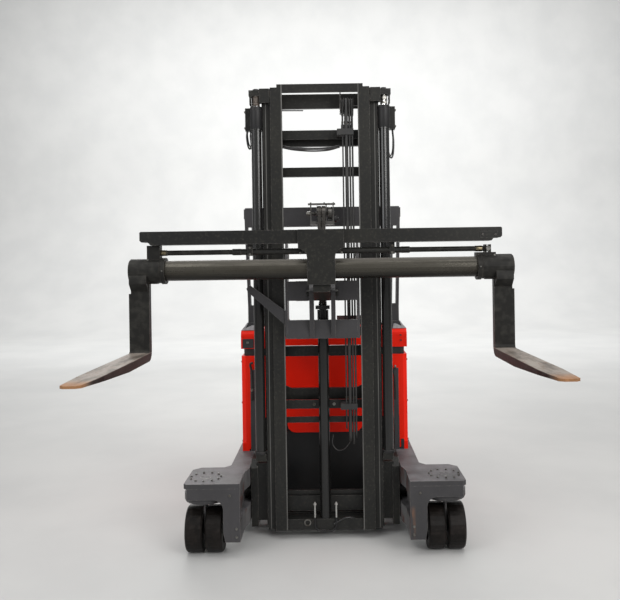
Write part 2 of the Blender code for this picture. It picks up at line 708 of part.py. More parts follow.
def load_wheels(side):
    """Twin tyres on one axle, each dished inside for the bearing boss."""
    x = side * LOAD_X
    tyre_edge = 0.008
    half_gap = LOAD_GAP / 2
    pieces = []
    for hand in (-1, 1):
        inner = x + hand * half_gap
        outer = x + hand * LOAD_TWIN / 2
        step = hand * tyre_edge
        outline = ((inner, LOAD_RECESS_R), (inner, LOAD_R - tyre_edge), (inner + step, LOAD_R),
                   (outer - step, LOAD_R), (outer, LOAD_R - tyre_edge), (outer, LOAD_HUB_R),
                   (outer - hand * 0.014, LOAD_HUB_R - 0.008), (outer - hand * 0.014, 0.040),
                   (outer - hand * 0.004, 0.034), (outer - hand * 0.004, 0),
                   (inner + hand * 0.040, 0), (inner + hand * 0.040, LOAD_RECESS_R))
        pieces.append(turned(outline, "X", (0, LOAD_R), 32, flat_down=True))
    pieces.append(drum("X", (0, LOAD_R), LOAD_AXLE_R, x - half_gap - 0.045, x + half_gap + 0.045, 16))
    return unite(pieces)


def drive_yoke():
    """The drive unit under the deck: turntable, gear case beside the wheel
    and the stub that the wheel is bolted to."""
    disc = DECK_Z0 - RUNNING
    pieces = [drum("Z", (0, WHEELBASE), TURN_R, DRIVE_R * 2 + 0.012, disc, 32)]
    y0, y1 = WHEELBASE - 0.055, WHEELBASE + 0.055
    case = [(y, z) for y, z in arc(WHEELBASE, DRIVE_R, 0.085, 180, 360, 8)]
    case += [(y1 + 0.02, DRIVE_R * 2 + 0.02), (y0 - 0.02, DRIVE_R * 2 + 0.02)]
    pieces.append(prism(case, "X", GEAR_X0, GEAR_X0 + GEAR_W))
    pieces.append(drum("X", (WHEELBASE, DRIVE_R), 0.045, GEAR_X0 + GEAR_W - 0.01, GEAR_X0 + GEAR_W + 0.02, 16))
    bore = drum("X", (WHEELBASE, DRIVE_R), 0.030 + RUNNING, GEAR_X0 - 0.02, GEAR_X0 + GEAR_W - 0.015, 16)
    return cut(unite(pieces), [bore])


def drive_wheel():
    half = DRIVE_W / 2
    outline = ((-half, 0), (-half, 0.050), (-half + 0.012, 0.055), (-half + 0.012, DRIVE_HUB_R),
               (-half, DRIVE_HUB_R + 0.008), (-half, DRIVE_R - 0.010), (-half + 0.010, DRIVE_R),
               (half - 0.010, DRIVE_R), (half, DRIVE_R - 0.010), (half, 0.030),
               (GEAR_X0 + GEAR_W - 0.02, 0.030), (GEAR_X0 + GEAR_W - 0.02, 0))
    return turned(outline, "X", (WHEELBASE, DRIVE_R), 32, flat_down=True)


def reach_carriage():
    """Side plates with rollers in the arms' tracks, joined by a beam
    behind the mast; the outer stage is welded between the plates."""
    pieces = [
        box(-PLATE_X1, PLATE_X1, BEAM_Y0, BEAM_Y1, CARRIAGE_Z0 + 0.02, 0.200),
    ]
    step = CARRIAGE_Y0 + 0.05
    outline = [(CARRIAGE_Y0, CARRIAGE_Z0), (CARRIAGE_Y1, CARRIAGE_Z0 + 0.06), (CARRIAGE_Y1, 0.36),
               (BEAM_Y1 + 0.06, CARRIAGE_Z1), (step, CARRIAGE_Z1), (CARRIAGE_Y0, CARRIAGE_Z1 - 0.05)]
    rear = OUTER.y + STAGE_DEPTH
    for _, side in SIDES:
        x0, x1 = sorted((side * PLATE_X0, side * PLATE_X1))
        pieces.append(prism(outline, "X", x0, x1))
        pieces.append(mirrored_box(side, OUTER.web_x1 + SEAT, PLATE_X0 + 0.01, OUTER.y + 0.03, rear,
                                   CARRIAGE_Z0 + 0.04, CARRIAGE_Z1 - 0.02))
        for y in ROLLER_Y:
            axle = sorted((side * (PLATE_X1 - 0.01), side * (ARM_X0 + 0.004)))
            pieces.append(drum("X", (y, RAIL_Z + ROLLER_R + SEAT), 0.028, *axle, 16))
            wheel = sorted((side * (ARM_X0 + 0.002), side * (ARM_X0 + TRACK_DEPTH - 0.005)))
            pieces.append(drum("X", (y, RAIL_Z + ROLLER_R + SEAT), ROLLER_R, *wheel, 24))
    return unite(pieces)


def reach_rod():
    return drum("Y", (0, REACH_CYL_Z), REACH_ROD_R, BEAM_Y1 + SEAT, BATTERY_REAR + 0.075, 16)


class Stage:
    """The section of one mast stage, for the right-hand rail. Each rail has a
    front flange, a web and a rear flange, all of the same steel."""

    def __init__(self, y, front_x0, front_x1, web_x0, web_x1, rear_x0, rear_x1):
        self.y = y
        self.front_x0 = front_x0
        self.front_x1 = front_x1
        self.web_x0 = web_x0
        self.web_x1 = web_x1
        self.rear_x0 = rear_x0
        self.rear_x1 = rear_x1

    def rail(self, side, z0, z1):
        """One rail as a single outline in plan."""
        front = self.y + STEEL
        rear = self.y + STAGE_DEPTH
        inner = rear - STEEL
        outline = [(self.front_x0, self.y), (self.front_x1, self.y)]
        if self.front_x1 > self.web_x1:
            outline += [(self.front_x1, front), (self.web_x1, front)]
        if self.rear_x1 > self.web_x1:
            outline += [(self.web_x1, inner), (self.rear_x1, inner)]
        outline += [(self.rear_x1, rear), (self.rear_x0, rear), (self.rear_x0, inner), (self.web_x0, inner),
                    (self.web_x0, front), (self.front_x0, front)]
        return prism([(side * x, y) for x, y in outline], "Z", z0, z1)

    def rails(self, z0, z1):
        return [self.rail(side, z0, z1) for _, side in SIDES]


INNER = Stage(INNER_Y, 0.248, 0.326, 0.284, 0.296, 0.262, 0.322)
MIDDLE = Stage(INNER_Y + STAGE_STEP, 0.302, 0.378, 0.332, 0.344, 0.305, 0.362)
OUTER = Stage(INNER_Y + 2 * STAGE_STEP, 0.352, 0.388, 0.374, 0.388, 0.300, 0.388)


CHAIN_Y = OUTER.y + STAGE_DEPTH - 0.004


def guide_roller(side, x0, x1, stage, z):
    """A roller on a stub, running in the channel of the given stage."""
    centre = (stage.y + STAGE_DEPTH / 2, z)
    radius = STAGE_DEPTH / 2 - STEEL - RUNNING
    return drum("X", centre, radius, *sorted((side * x0, side * x1)), 16)


def cross_beams(stage, depth, levels, clear_x):
    """Beams between a stage's rear flanges, one for each pair of levels. They
    thin out to the flange's own steel where the inner rollers run past."""
    rear = stage.y + STAGE_DEPTH
    end = stage.rear_x0 + 0.02
    pieces = []
    for low, high in levels:
        pieces.append(box(-clear_x, clear_x, rear - depth, rear, low, high))
        pieces.append(box(-end, end, rear - min(depth, STEEL), rear, low, high))
    return pieces


def mast_outer():
    """The outer stage, with its beams behind the rails, the collars that hold
    the side cylinders and the feet that they stand on."""
    rear = OUTER.y + STAGE_DEPTH
    pieces = OUTER.rails(MAST_Z0, MAST_Z1 - 0.035)
    for low, high in ((OUTER_TOP - 0.110, OUTER_TOP), (2.400, 2.463), (1.180, 1.250), (0.885, 0.962),
                      (MAST_Z0, MAST_Z0 + 0.100)):
        pieces.append(box(-0.385, 0.385, rear - 0.004, rear + 0.030, low, high))
    for _, side in SIDES:
        web = OUTER.web_x1
        gusset = ((0.360, 0.955), (0.200, 0.955), (0.280, 0.990), (0.360, 0.990))
        pieces.append(prism([(side * x, z) for x, z in gusset], "Y", rear - 0.004, rear + 0.012))
        pieces.append(mirrored_box(side, MIDDLE.front_x1 + CLEAR, LIFT_X + 0.030, LIFT_Y - 0.030,
                                   OUTER.y + 0.05, LIFT_Z0 - 0.045, LIFT_Z0 - SEAT))
        collar = mirrored_box(side, MIDDLE.front_x1 + CLEAR, LIFT_X + 0.045, LIFT_Y + 0.020, OUTER.y + 0.030,
                              LIFT_Z1 - 0.110, LIFT_Z1 - 0.060)
        seat = drum("Z", (side * LIFT_X, LIFT_Y), GLAND_R + SEAT, LIFT_Z1 - 0.150, LIFT_Z1 - 0.040, 20)
        pieces.append(cut(collar, [seat]))
        pieces.append(mirrored_box(side, web - 0.01, LIFT_X + 0.079, OUTER.y + 0.02, OUTER.y + 0.07,
                                   2.698, 2.850))
        pieces.append(guide_roller(side, MIDDLE.web_x1 + 0.003, OUTER.web_x0 + 0.005, MIDDLE, MAST_Z1 - 0.11))
    return unite(pieces)


def lift_cylinder(side):
    """A side cylinder: a hollow barrel with its gland, open at the top."""
    bore = LIFT_ROD_R + RUNNING
    outline = ((LIFT_Z0, 0), (LIFT_Z0, LIFT_R - 0.006), (LIFT_Z0 + 0.006, LIFT_R), (LIFT_Z1 - GLAND_L, LIFT_R),
               (LIFT_Z1 - GLAND_L, GLAND_R), (LIFT_Z1 - 0.006, GLAND_R), (LIFT_Z1, GLAND_R - 0.006),
               (LIFT_Z1, bore), (LIFT_Z0 + 0.02, bore), (LIFT_Z0 + 0.02, 0))
    return turned(outline, "Z", (side * LIFT_X, LIFT_Y), 20)


def lift_rod(side):
    """A side cylinder's rod, long enough to stay in its gland at full lift."""
    foot = LIFT_Z1 - LIFT - 0.050
    outline = ((foot, 0), (foot, LIFT_ROD_R), (ROD_TOP, LIFT_ROD_R), (ROD_TOP, 0))
    return turned(outline, "Z", (side * LIFT_X, LIFT_Y), 20)


def mast_middle():
    """The middle stage, its beams, the brackets on top of the side rods and
    the stage chains' pulleys."""
    pieces = MIDDLE.rails(MAST_Z0, MAST_Z1 - 0.020)
    levels = ((STAGE_PULLEY_Z - 0.030, STAGE_PULLEY_Z + 0.067), (1.320, 1.380), (0.240, 0.285), (0.070, 0.140))
    pieces += cross_beams(MIDDLE, 0.026, levels, INNER.web_x1 - 0.005 - CLEAR)
    for _, side in SIDES:
        outer = LIFT_X + 0.037
        pieces.append(mirrored_box(side, INNER.front_x1 + CLEAR, 0.398, LIFT_Y - 0.035, MIDDLE.y + 0.010,
                                   ROD_TOP - 0.045, ROD_TOP + 0.047))
        pieces.append(mirrored_box(side, 0.396, outer + 0.008, LIFT_Y - 0.030, LIFT_Y + 0.03,
                                   ROD_TOP + SEAT, ROD_TOP + 0.038))
        pulley = sorted((side * (STAGE_CHAIN_X - 0.013), side * (STAGE_CHAIN_X + 0.013)))
        centre_y = CHAIN_Y - CHAIN_T / 2 - SEAT - STAGE_PULLEY_R
        pieces.append(drum("X", (centre_y, STAGE_PULLEY_Z), STAGE_PULLEY_R, *pulley, 20))
        pieces.append(guide_roller(side, INNER.web_x1 + 0.003, MIDDLE.web_x0 + 0.005, INNER, MAST_Z1 - 0.10))
        pieces.append(guide_roller(side, MIDDLE.web_x1 - 0.005, OUTER.web_x0 - 0.002, OUTER, MAST_Z0 + 0.10))
    return unite(pieces)


HOSES = (  # x, radius, lowest point of the loop
    (0.148, 0.0050, 0.715),
    (0.172, 0.0115, 0.640),
    (0.194, 0.0060, 0.615),
    (0.211, 0.0060, 0.655),
)


FLANGES = ((0.139, 0.142), (0.1553, 0.1583), (0.1845, 0.1870), (0.2015, 0.2035), (0.2185, 0.2205))


def hose_sheaves():
    """The sheaves at the top of the inner stage, one groove for each hose, on
    an axle between the right rail and a bracket under the top beam."""
    axis = (SHEAVE_Y, SHEAVE_Z)
    outline = [(FLANGES[0][0] - 0.002, 0), (FLANGES[0][0] - 0.002, 0.020), (FLANGES[0][0], 0.020)]
    for index, (start, end) in enumerate(FLANGES):
        outline += [(start, SHEAVE_R), (end, SHEAVE_R)]
        if index < len(HOSES):
            groove = HOSE_BEND - HOSES[index][1] - SEAT
            outline += [(end, groove), (FLANGES[index + 1][0], groove)]
    outline += [(FLANGES[-1][1], 0.010), (INNER.web_x0 + 0.002, 0.010), (INNER.web_x0 + 0.002, 0)]
    bracket = box(0.130, 0.138, INNER_Y + 0.002, SHEAVE_Y + 0.037, 2.800, MAST_Z1 - 0.035)
    return [turned(outline, "X", axis, 24), bracket]


def mast_inner():
    """The inner stage, which the lift carriage climbs."""
    pieces = INNER.rails(MAST_Z0, MAST_Z1 - 0.020)
    pieces += cross_beams(INNER, INNER_BEAM, (INNER_TOP_BEAM, (ANCHOR_Z - ANCHOR_H, ANCHOR_Z),
                                              (0.745, 0.784), (0.155, 0.255)), SIDE_X1)
    strand = FREE_Y + PULLEY_R
    pieces.append(box(-0.030, 0.030, strand - CHAIN_T / 2 - 0.001, strand + 0.012, ANCHOR_Z - 0.040, ANCHOR_Z))
    for _, side in SIDES:
        pieces.append(guide_roller(side, INNER.web_x1 - 0.005, MIDDLE.web_x0 - 0.002, MIDDLE, MAST_Z0 + 0.14))
    pieces.append(box(-0.283, 0.283, INNER_Y, INNER_Y + 0.020, MAST_Z1 - 0.054, MAST_Z1))
    pieces.append(box(-0.290, 0.290, INNER_Y + 0.016, INNER_Y + STAGE_DEPTH - 0.005, MAST_Z0, MAST_Z0 + 0.07))
    return unite(pieces + hose_sheaves())


def free_lift_cylinder():
    """The free lift barrel in the middle of the inner stage, open at the top."""
    low = MAST_Z0 + 0.07 + SEAT
    bore = FREE_ROD_R + RUNNING
    outline = ((low, 0), (low, FREE_R), (FREE_Z1 - 0.08, FREE_R), (FREE_Z1 - 0.08, FREE_R + 0.001),
               (FREE_Z1, FREE_R + 0.001), (FREE_Z1, bore), (low + 0.02, bore), (low + 0.02, 0))
    return turned(outline, "Z", (0, FREE_Y), 20)


def free_lift_rod():
    """The free lift rod and the head it lifts: a chain pulley in the middle
    and the hoses' pulley beside it, under one thin top plate."""
    foot = FREE_Z1 - FREE_HIGH - 0.06 - 0.10
    pieces = [
        drum("Z", (0, FREE_Y), FREE_ROD_R, foot, PULLEY_Z - PULLEY_R - 0.01, 16),
        box(-0.075, 0.085, FREE_Y - 0.030, FREE_Y + 0.030, PULLEY_Z - PULLEY_R - 0.030, PULLEY_Z - PULLEY_R - 0.006),
        box(-0.088, 0.092, FREE_Y - 0.034, FREE_Y + 0.034, PULLEY_Z + PULLEY_R + 0.014, PULLEY_Z + PULLEY_R + 0.022),
        drum("X", (FREE_Y, PULLEY_Z), 0.012, -0.075, 0.085, 12),
        drum("X", (FREE_Y, PULLEY_Z), PULLEY_R - CHAIN_T, -CHAIN_W / 2, CHAIN_W / 2, 20),
        drum("X", (FREE_Y, PULLEY_Z), PULLEY_R - 0.004, 0.044, 0.068, 20),
    ]
    for x in (-0.070, 0.032, 0.078):
        pieces.append(box(x - 0.004, x + 0.004, FREE_Y - 0.026, FREE_Y + 0.026, PULLEY_Z - PULLEY_R - 0.02,
                          PULLEY_Z + PULLEY_R + 0.018))
    return unite(pieces)


def chain(x, y, z0, z1, width, thickness):
    """One straight run of leaf chain, as a plain strap."""
    return box(x - width / 2, x + width / 2, y - thickness / 2, y + thickness / 2, z0, z1)


def mast_hoses():
    """Hoses over the sheaves of the inner stage: up from a fitting behind
    them, down in front and back up in loops, held by two clamps."""
    clamp_y = INNER_Y + STAGE_DEPTH - INNER_BEAM - SEAT
    front, rear = SHEAVE_Y - HOSE_BEND, SHEAVE_Y + HOSE_BEND
    beam_z = ANCHOR_Z - ANCHOR_H
    fitting = INNER_TOP_BEAM[1] + SEAT
    pieces = []
    for x, radius, low in HOSES:
        route = [(x, rear, fitting + 0.02)]
        route += [(x, y, z) for y, z in arc(SHEAVE_Y, SHEAVE_Z, HOSE_BEND, 0, 180, 8)]
        route += [(x, y, z) for y, z in arc(front + LOOP_R, low + LOOP_R, LOOP_R, 180, 360, 8)]
        route.append((x, front + 2 * LOOP_R, beam_z + 0.02))
        pieces.append(hose(route, radius))
    pieces.append(box(0.139, 0.219, 0.250, rear + 0.0115, fitting, fitting + 0.035))
    for low, high in (INNER_TOP_BEAM, (beam_z, ANCHOR_Z)):
        pieces.append(box(0.110, SIDE_X0 - CLEAR, front - 0.015, clamp_y, low + 0.010, high - 0.010))
    return unite(pieces)


def lift_carriage():
    """Side plates with rollers in the inner stage, two cross bars, the cheeks
    that hold the tilt pin, the chain lug and the diagonal arm on the left."""
    pieces = []
    for _, side in SIDES:
        plate = [(SIDE_Y0, SIDE_Z0), (SIDE_Y1, SIDE_Z0 + 0.04), (SIDE_Y1, SIDE_Z1 - 0.02),
                 (SIDE_Y1 - 0.03, SIDE_Z1), (0.150, SIDE_Z1), (SIDE_Y0, 1.760)]
        pieces.append(prism(plate, "X", *sorted((side * SIDE_X0, side * SIDE_X1))))
        for z in (SIDE_Z0 + 0.094, SIDE_Z1 - 0.090):
            centre = (INNER_Y + STAGE_DEPTH / 2, z)
            stub = sorted((side * (SIDE_X1 - 0.01), side * (INNER.web_x0 - 0.006)))
            pieces.append(drum("X", centre, 0.020, *stub, 12))
            roller = sorted((side * (SIDE_X1 + 0.010), side * (INNER.web_x0 - 0.002)))
            pieces.append(drum("X", centre, STAGE_DEPTH / 2 - STEEL - RUNNING, *roller, 20))
        cheek = [(SIDE_Y0 + BAR_T, SIDE_Z0), (SIDE_Y0, SIDE_Z0), (TILT_Y - 0.035, TILT_Z - 0.12)]
        cheek += arc(TILT_Y, TILT_Z, 0.045, 210, 80, 5)
        cheek += [(SIDE_Y0 + BAR_T, 1.720)]
        pieces.append(prism(cheek, "X", *sorted((side * CHEEK_X0, side * CHEEK_X1))))
    for low, high in ((SIDE_Z0, 1.445), (1.570, 1.695)):
        pieces.append(box(-SIDE_X1 + 0.001, SIDE_X1 - 0.001, SIDE_Y0 + 0.001, SIDE_Y0 + BAR_T, low, high))
    pieces.append(box(-0.030, 0.030, SIDE_Y0 + 0.02, LUG_Y, LUG_Z - 0.035, LUG_Z))
    arm = ((-0.232, 1.405), (-0.478, 1.628), (-0.490, 1.652), (-0.470, 1.676), (-0.232, 1.500))
    pieces.append(prism(arm, "Y", 0.075, 0.095))
    bore = drum("X", (TILT_Y, TILT_Z), TILT_PIN_R + RUNNING, -0.12, 0.12, 20)
    return cut(unite(pieces), [bore])


def spreader_bracket():
    """The neck that tilts between the carriage's cheeks, with its pin, the
    block round the tube and the face plate in front of the beam."""
    neck = CHEEK_X0 - 0.005
    side_view = [(TILT_Y + 0.022, TILT_Z + 0.030), (TILT_Y + 0.022, TILT_Z - 0.030), (-0.10, 1.577),
                 (BEAM_FRONT + 0.002, 1.640), (BEAM_FRONT + 0.002, 1.760), (-0.06, 1.760)]
    pieces = [prism(side_view, "X", -neck, neck),
              drum("X", (TILT_Y, TILT_Z), TILT_PIN_R, -CHEEK_X1 - 0.014, CHEEK_X1 + 0.014, 20)]
    block = [(y, z) for y, z in rounded(BEAM_FRONT + 0.001, -0.225, 1.690, 1.862, 0.03, 2)]
    pieces.append(prism(block, "X", -CHEEK_X1, CHEEK_X1))
    pieces.append(box(-0.060, 0.060, BEAM_FRONT + 0.001, -0.230, 1.850, BEAM_LOW - SEAT))
    wide, narrow, neck_z = 0.134, 0.082, 1.895
    face = [(narrow, 1.684), (narrow, neck_z - 0.052)]
    face += arc(narrow + 0.052, neck_z - 0.052, 0.052, 180, 90)[1:]
    face += [(wide, neck_z), (wide, BEAM_HIGH)]
    face = [(-x, z) for x, z in face[::-1]] + face
    pieces.append(prism(face, "Y", BEAM_FRONT - 0.025, BEAM_FRONT - SEAT))
    pieces.append(box(-narrow, narrow, BEAM_FRONT - 0.01, BEAM_FRONT + 0.004, 1.690, BEAM_LOW - 0.002))
    bore = drum("X", (TUBE_Y, TUBE_Z), TUBE_R + SEAT, -0.2, 0.2, 32)
    return cut(unite(pieces), [bore])


def spreader_beam():
    """The box beam over the tube, with its lower end corners cut away."""
    x, low = SPREADER_X, BEAM_LOW + 0.018
    outline = [(x - 0.006, BEAM_HIGH), (x, BEAM_HIGH - 0.006), (x, low + 0.010), (x - 0.010, low),
               (x - 0.048, low), (x - 0.063, BEAM_LOW)]
    outline = [(-a, z) for a, z in outline[::-1]] + outline
    return prism(outline, "Y", BEAM_FRONT, BEAM_BACK)


def spreader_tube():
    """The round tube that the fork hubs slide on."""
    edge = 0.004
    outline = ((-TUBE_X, 0), (-TUBE_X, TUBE_R - edge), (-TUBE_X + edge, TUBE_R), (TUBE_X - edge, TUBE_R),
               (TUBE_X, TUBE_R - edge), (TUBE_X, 0))
    return turned(outline, "X", (TUBE_Y, TUBE_Z), 32)


def positioner(side):
    """One positioner cylinder: a barrel open at its outer end, on a foot that
    is bolted to the bracket's web."""
    bore = POSITIONER_ROD_R + RUNNING
    x0, x1 = POSITIONER_X0, POSITIONER_X1
    outline = [(x0, 0), (x0, POSITIONER_R), (x1 - 0.05, POSITIONER_R), (x1 - 0.05, POSITIONER_R + 0.001),
               (x1, POSITIONER_R + 0.001), (x1, bore), (x0 + 0.012, bore), (x0 + 0.012, 0)]
    barrel = turned([(side * x, r) for x, r in outline], "X", (TUBE_Y, POSITIONER_Z), 16)
    foot = mirrored_box(side, 0.060 + SEAT, x0 + 0.02, TUBE_Y - 0.020, TUBE_Y + 0.020,
                        POSITIONER_Z - 0.018, BEAM_LOW - SEAT)
    strap = mirrored_box(side, x1 - 0.120, x1 - 0.090, TUBE_Y - 0.026, TUBE_Y + 0.026,
                         POSITIONER_Z - 0.024, BEAM_LOW - SEAT)
    inside = drum("X", (TUBE_Y, POSITIONER_Z), POSITIONER_R - 0.0015, -0.6, 0.6, 16)
    return unite([barrel, foot, cut(strap, [inside])])


def fork(side):
    """A fork: hub sleeve on the tube, the shank, the heel and a blade that
    tapers below and towards its tip, and the positioner's eye and rod."""
    x0, x1 = FORK_X0, FORK_X0 + FORK_W
    low = FORK_TOP - FORK_T
    taper_from = FORK_FRONT - 0.45
    profile = [(FORK_BACK, 1.740)]
    profile += arc(FORK_BACK - HEEL_R, low + HEEL_R, HEEL_R, 0, -90)
    profile += [(taper_from, low), (FORK_TIP, FORK_TOP - FORK_TIP_T), (FORK_TIP, FORK_TOP)]
    profile += arc(FORK_FRONT - 0.02, FORK_TOP + 0.02, 0.02, 270, 360, 3)
    profile += [(FORK_FRONT, 1.740)]
    blade = prism(profile, "X", *sorted((side * x0, side * x1)))
    inset = (FORK_W - FORK_TIP_W) / 2
    near = FORK_TIP + 0.30
    plan = [(x0, FORK_BACK + 0.01), (x0, near), (x0 + inset, FORK_TIP + 0.02), (x0 + inset + 0.02, FORK_TIP),
            (x1 - inset - 0.02, FORK_TIP), (x1 - inset, FORK_TIP + 0.02), (x1, near), (x1, FORK_BACK + 0.01)]
    blade = trim(blade, prism([(side * x, y) for x, y in plan], "Z", low - 0.01, 1.80))
    shoulder = mirrored_box(side, x1 - 0.012, x1 + 0.01, FORK_FRONT - 0.01, FORK_BACK + 0.01, 1.643, 1.80)
    blade = cut(blade, [shoulder])
    sleeve = [(SLEEVE_X0, 0.02), (SLEEVE_X0, SLEEVE_R + 0.006), (SLEEVE_X0 + 0.024, SLEEVE_R + 0.006),
              (SLEEVE_X0 + 0.030, SLEEVE_R), (SLEEVE_X1 - 0.006, SLEEVE_R), (SLEEVE_X1, SLEEVE_R - 0.006),
              (SLEEVE_X1, 0.02)]
    hub = turned([(side * x, r) for x, r in sleeve], "X", (TUBE_Y, TUBE_Z), 32)
    pieces = [blade, hub]
    pieces.append(mirrored_box(side, FORK_X0 - 0.05, FORK_X0 + 0.10, TUBE_Y - 0.026, TUBE_Y + 0.024,
                               1.700, 1.730))
    if side < 0:
        pieces.append(mirrored_box(side, 0.950, 1.027, TUBE_Y - 0.030, TUBE_Y + 0.030, TUBE_Z + 0.05,
                                   BEAM_LOW - RUNNING))
    else:
        pieces.append(mirrored_box(side, 0.914, 1.030, TUBE_Y - 0.030, TUBE_Y + 0.030, TUBE_Z + 0.05,
                                   POSITIONER_Z - 0.022))
        for x in (0.966, 0.992):
            pieces.append(mirrored_box(side, x, x + 0.012, TUBE_Y - 0.022, TUBE_Y + 0.022,
                                       POSITIONER_Z - 0.03, POSITIONER_Z + 0.024))
    rod_x = sorted((side * EYE_X, side * (POSITIONER_X1 - 0.03)))
    pieces.append(drum("X", (TUBE_Y, POSITIONER_Z), POSITIONER_ROD_R, *rod_x, 16))
    nut = sorted((side * (EYE_X - 0.073), side * (EYE_X - 0.030)))
    pieces.append(drum("X", (TUBE_Y, POSITIONER_Z), POSITIONER_ROD_R + 0.002, *nut, 12))
    bore = drum("X", (TUBE_Y, TUBE_Z), TUBE_R + SLIDE, *sorted((side * 0.80, side * 1.20)), 32)
    return cut(unite(pieces), [bore])


def build():
    """Model every piece and hang it on the body that carries it."""
    truck = joint_empty("truck", None, (0, 0, 0))
    reach = joint_empty("reach", truck, (0, BEAM_Y0, RAIL_Z + ROLLER_R))
    middle = joint_empty("mast_lift", reach, (0, LIFT_Y, LIFT_Z1))
    inner = joint_empty("inner_lift", middle, (0, INNER_Y, MAST_Z1))
    head = joint_empty("free_lift", inner, (0, FREE_Y, FREE_Z1))
    carriage = joint_empty("carriage_lift", head, (0, SIDE_Y0, SIDE_Z0))
    spreader = joint_empty("spreader_tilt", carriage, (0, TILT_Y, TILT_Z))

    add("chassis_frame", truck, chassis_frame(), "anthracite")
    add("battery", truck, battery(), "black")
    add("battery_panel", truck, battery_panel(), "red")
    add("hood_seal", truck, hood_seal(), "black")
    add("battery_hood", truck, battery_hood(), "red")
    add("cab_shell", truck, cab_shell(), "red")
    add("motor_cover", truck, motor_cover(), "anthracite")
    add("pedals", truck, pedals(), "black")
    add("seat_cushion", truck, seat_cushion(), "vinyl")
    add("seat_backrest", truck, seat_backrest(), "vinyl")
    add("dashboard", truck, dashboard(), "black")
    add("steering_pod", truck, steering_pod(), "anthracite")
    add("drive_motor", truck, drive_motor(), "black")
    add("overhead_guard", truck, overhead_guard(), "anthracite")
    add("reach_cylinder", truck, reach_cylinder(), "black")

    wheel = joint_empty("steering_wheel_turn", truck, (WHEEL_X, WHEEL_Y, WHEEL_Z))
    add("steering_wheel", wheel, steering_wheel(), "black")
    steer = joint_empty("drive_steer", truck, (0, WHEELBASE, DECK_Z0))
    spin = joint_empty("drive_spin", steer, (0, WHEELBASE, DRIVE_R))
    add("drive_yoke", steer, drive_yoke(), "anthracite")
    add("drive_wheel", spin, drive_wheel(), "tread")

    for name, side in SIDES:
        add("load_arm_" + name, truck, load_arm(side), "anthracite")
        steer = joint_empty("steer_" + name, truck, (side * LOAD_X, 0, TURN_Z))
        spin = joint_empty("spin_" + name, steer, (side * LOAD_X, 0, LOAD_R))
        add("steer_yoke_" + name, steer, steer_yoke(side), "anthracite")
        add("load_wheels_" + name, spin, load_wheels(side), "tread")

    add("reach_carriage", reach, reach_carriage(), "mast_grey")
    add("reach_rod", reach, reach_rod(), "chrome")
    add("mast_outer", reach, mast_outer(), "mast_grey")
    add("mast_middle", middle, mast_middle(), "mast_grey")
    add("mast_inner", inner, mast_inner(), "mast_grey")
    add("mast_hoses", inner, mast_hoses(), "black")
    add("free_lift_cylinder", inner, free_lift_cylinder(), "mast_grey")
    add("free_lift_rod", head, free_lift_rod(), "steel")
    for name, side in SIDES:
        add("lift_cylinder_" + name, reach, lift_cylinder(side), "mast_grey")
        add("lift_rod_" + name, middle, lift_rod(side), "chrome")
        strand = chain(side * STAGE_CHAIN_X, CHAIN_Y, OUTER_TOP + SEAT, STAGE_PULLEY_Z, STAGE_CHAIN_W,
                       CHAIN_T)
        add("stage_chain_" + name, reach, strand, "greased")

    front, rear = FREE_Y - PULLEY_R, FREE_Y + PULLEY_R
    add("chain_to_carriage", head, chain(0, front, LUG_Z + SEAT, PULLEY_Z, CHAIN_W, CHAIN_T), "greased")
    add("chain_to_mast", inner, chain(0, rear, ANCHOR_Z + SEAT, PULLEY_Z, CHAIN_W, CHAIN_T), "greased")

    add("lift_carriage", carriage, lift_carriage(), "mast_grey")
    add("spreader_bracket", spreader, spreader_bracket(), "mast_grey")
    add("spreader_beam", spreader, spreader_beam(), "mast_grey")
    add("spreader_tube", spreader, spreader_tube(), "greased")
    for name, side in SIDES:
        add("positioner_" + name, spreader, positioner(side), "mast_grey")
        slide = joint_empty("fork_slide_" + name, spreader, (side * EYE_X, TUBE_Y, TUBE_Z))
        add("fork_" + name, slide, fork(side), "blade")


for old in list(bpy.data.objects):
    bpy.data.objects.remove(old)
build()
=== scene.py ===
# %% [markdown]
# A four-way reach truck with a telescopic fork positioner, dressed round its CAD frame.
# Units are metres, +Z is up and the forks point along -Y. The CAD gives the main shapes and the
# joints; this script adds the finishes, the soft seat and the small pieces that ride on each body.

import json
import math

import bmesh
import bpy
import numpy as np
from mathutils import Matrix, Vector


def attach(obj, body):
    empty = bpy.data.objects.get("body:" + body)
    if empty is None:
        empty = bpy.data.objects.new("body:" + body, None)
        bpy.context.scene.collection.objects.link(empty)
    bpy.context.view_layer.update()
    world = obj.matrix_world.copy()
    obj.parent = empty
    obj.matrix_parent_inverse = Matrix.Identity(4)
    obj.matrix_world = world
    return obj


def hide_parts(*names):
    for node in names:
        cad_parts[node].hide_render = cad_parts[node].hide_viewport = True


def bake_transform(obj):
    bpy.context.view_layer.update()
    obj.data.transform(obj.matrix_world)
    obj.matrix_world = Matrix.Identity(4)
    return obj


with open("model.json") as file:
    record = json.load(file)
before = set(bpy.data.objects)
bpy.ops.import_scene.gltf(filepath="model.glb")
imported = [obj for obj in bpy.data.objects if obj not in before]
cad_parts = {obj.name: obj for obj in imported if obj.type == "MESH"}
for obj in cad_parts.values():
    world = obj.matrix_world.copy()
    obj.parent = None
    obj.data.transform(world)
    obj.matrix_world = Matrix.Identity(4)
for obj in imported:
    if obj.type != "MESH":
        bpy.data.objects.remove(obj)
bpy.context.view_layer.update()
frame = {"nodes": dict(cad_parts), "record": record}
NODES = frame["nodes"]
SIDES = (("left", -1), ("right", 1))
FRONT, UP, DOWN = (0, -1, 0), (0, 0, 1), (0, 0, -1)
scene = bpy.context.scene

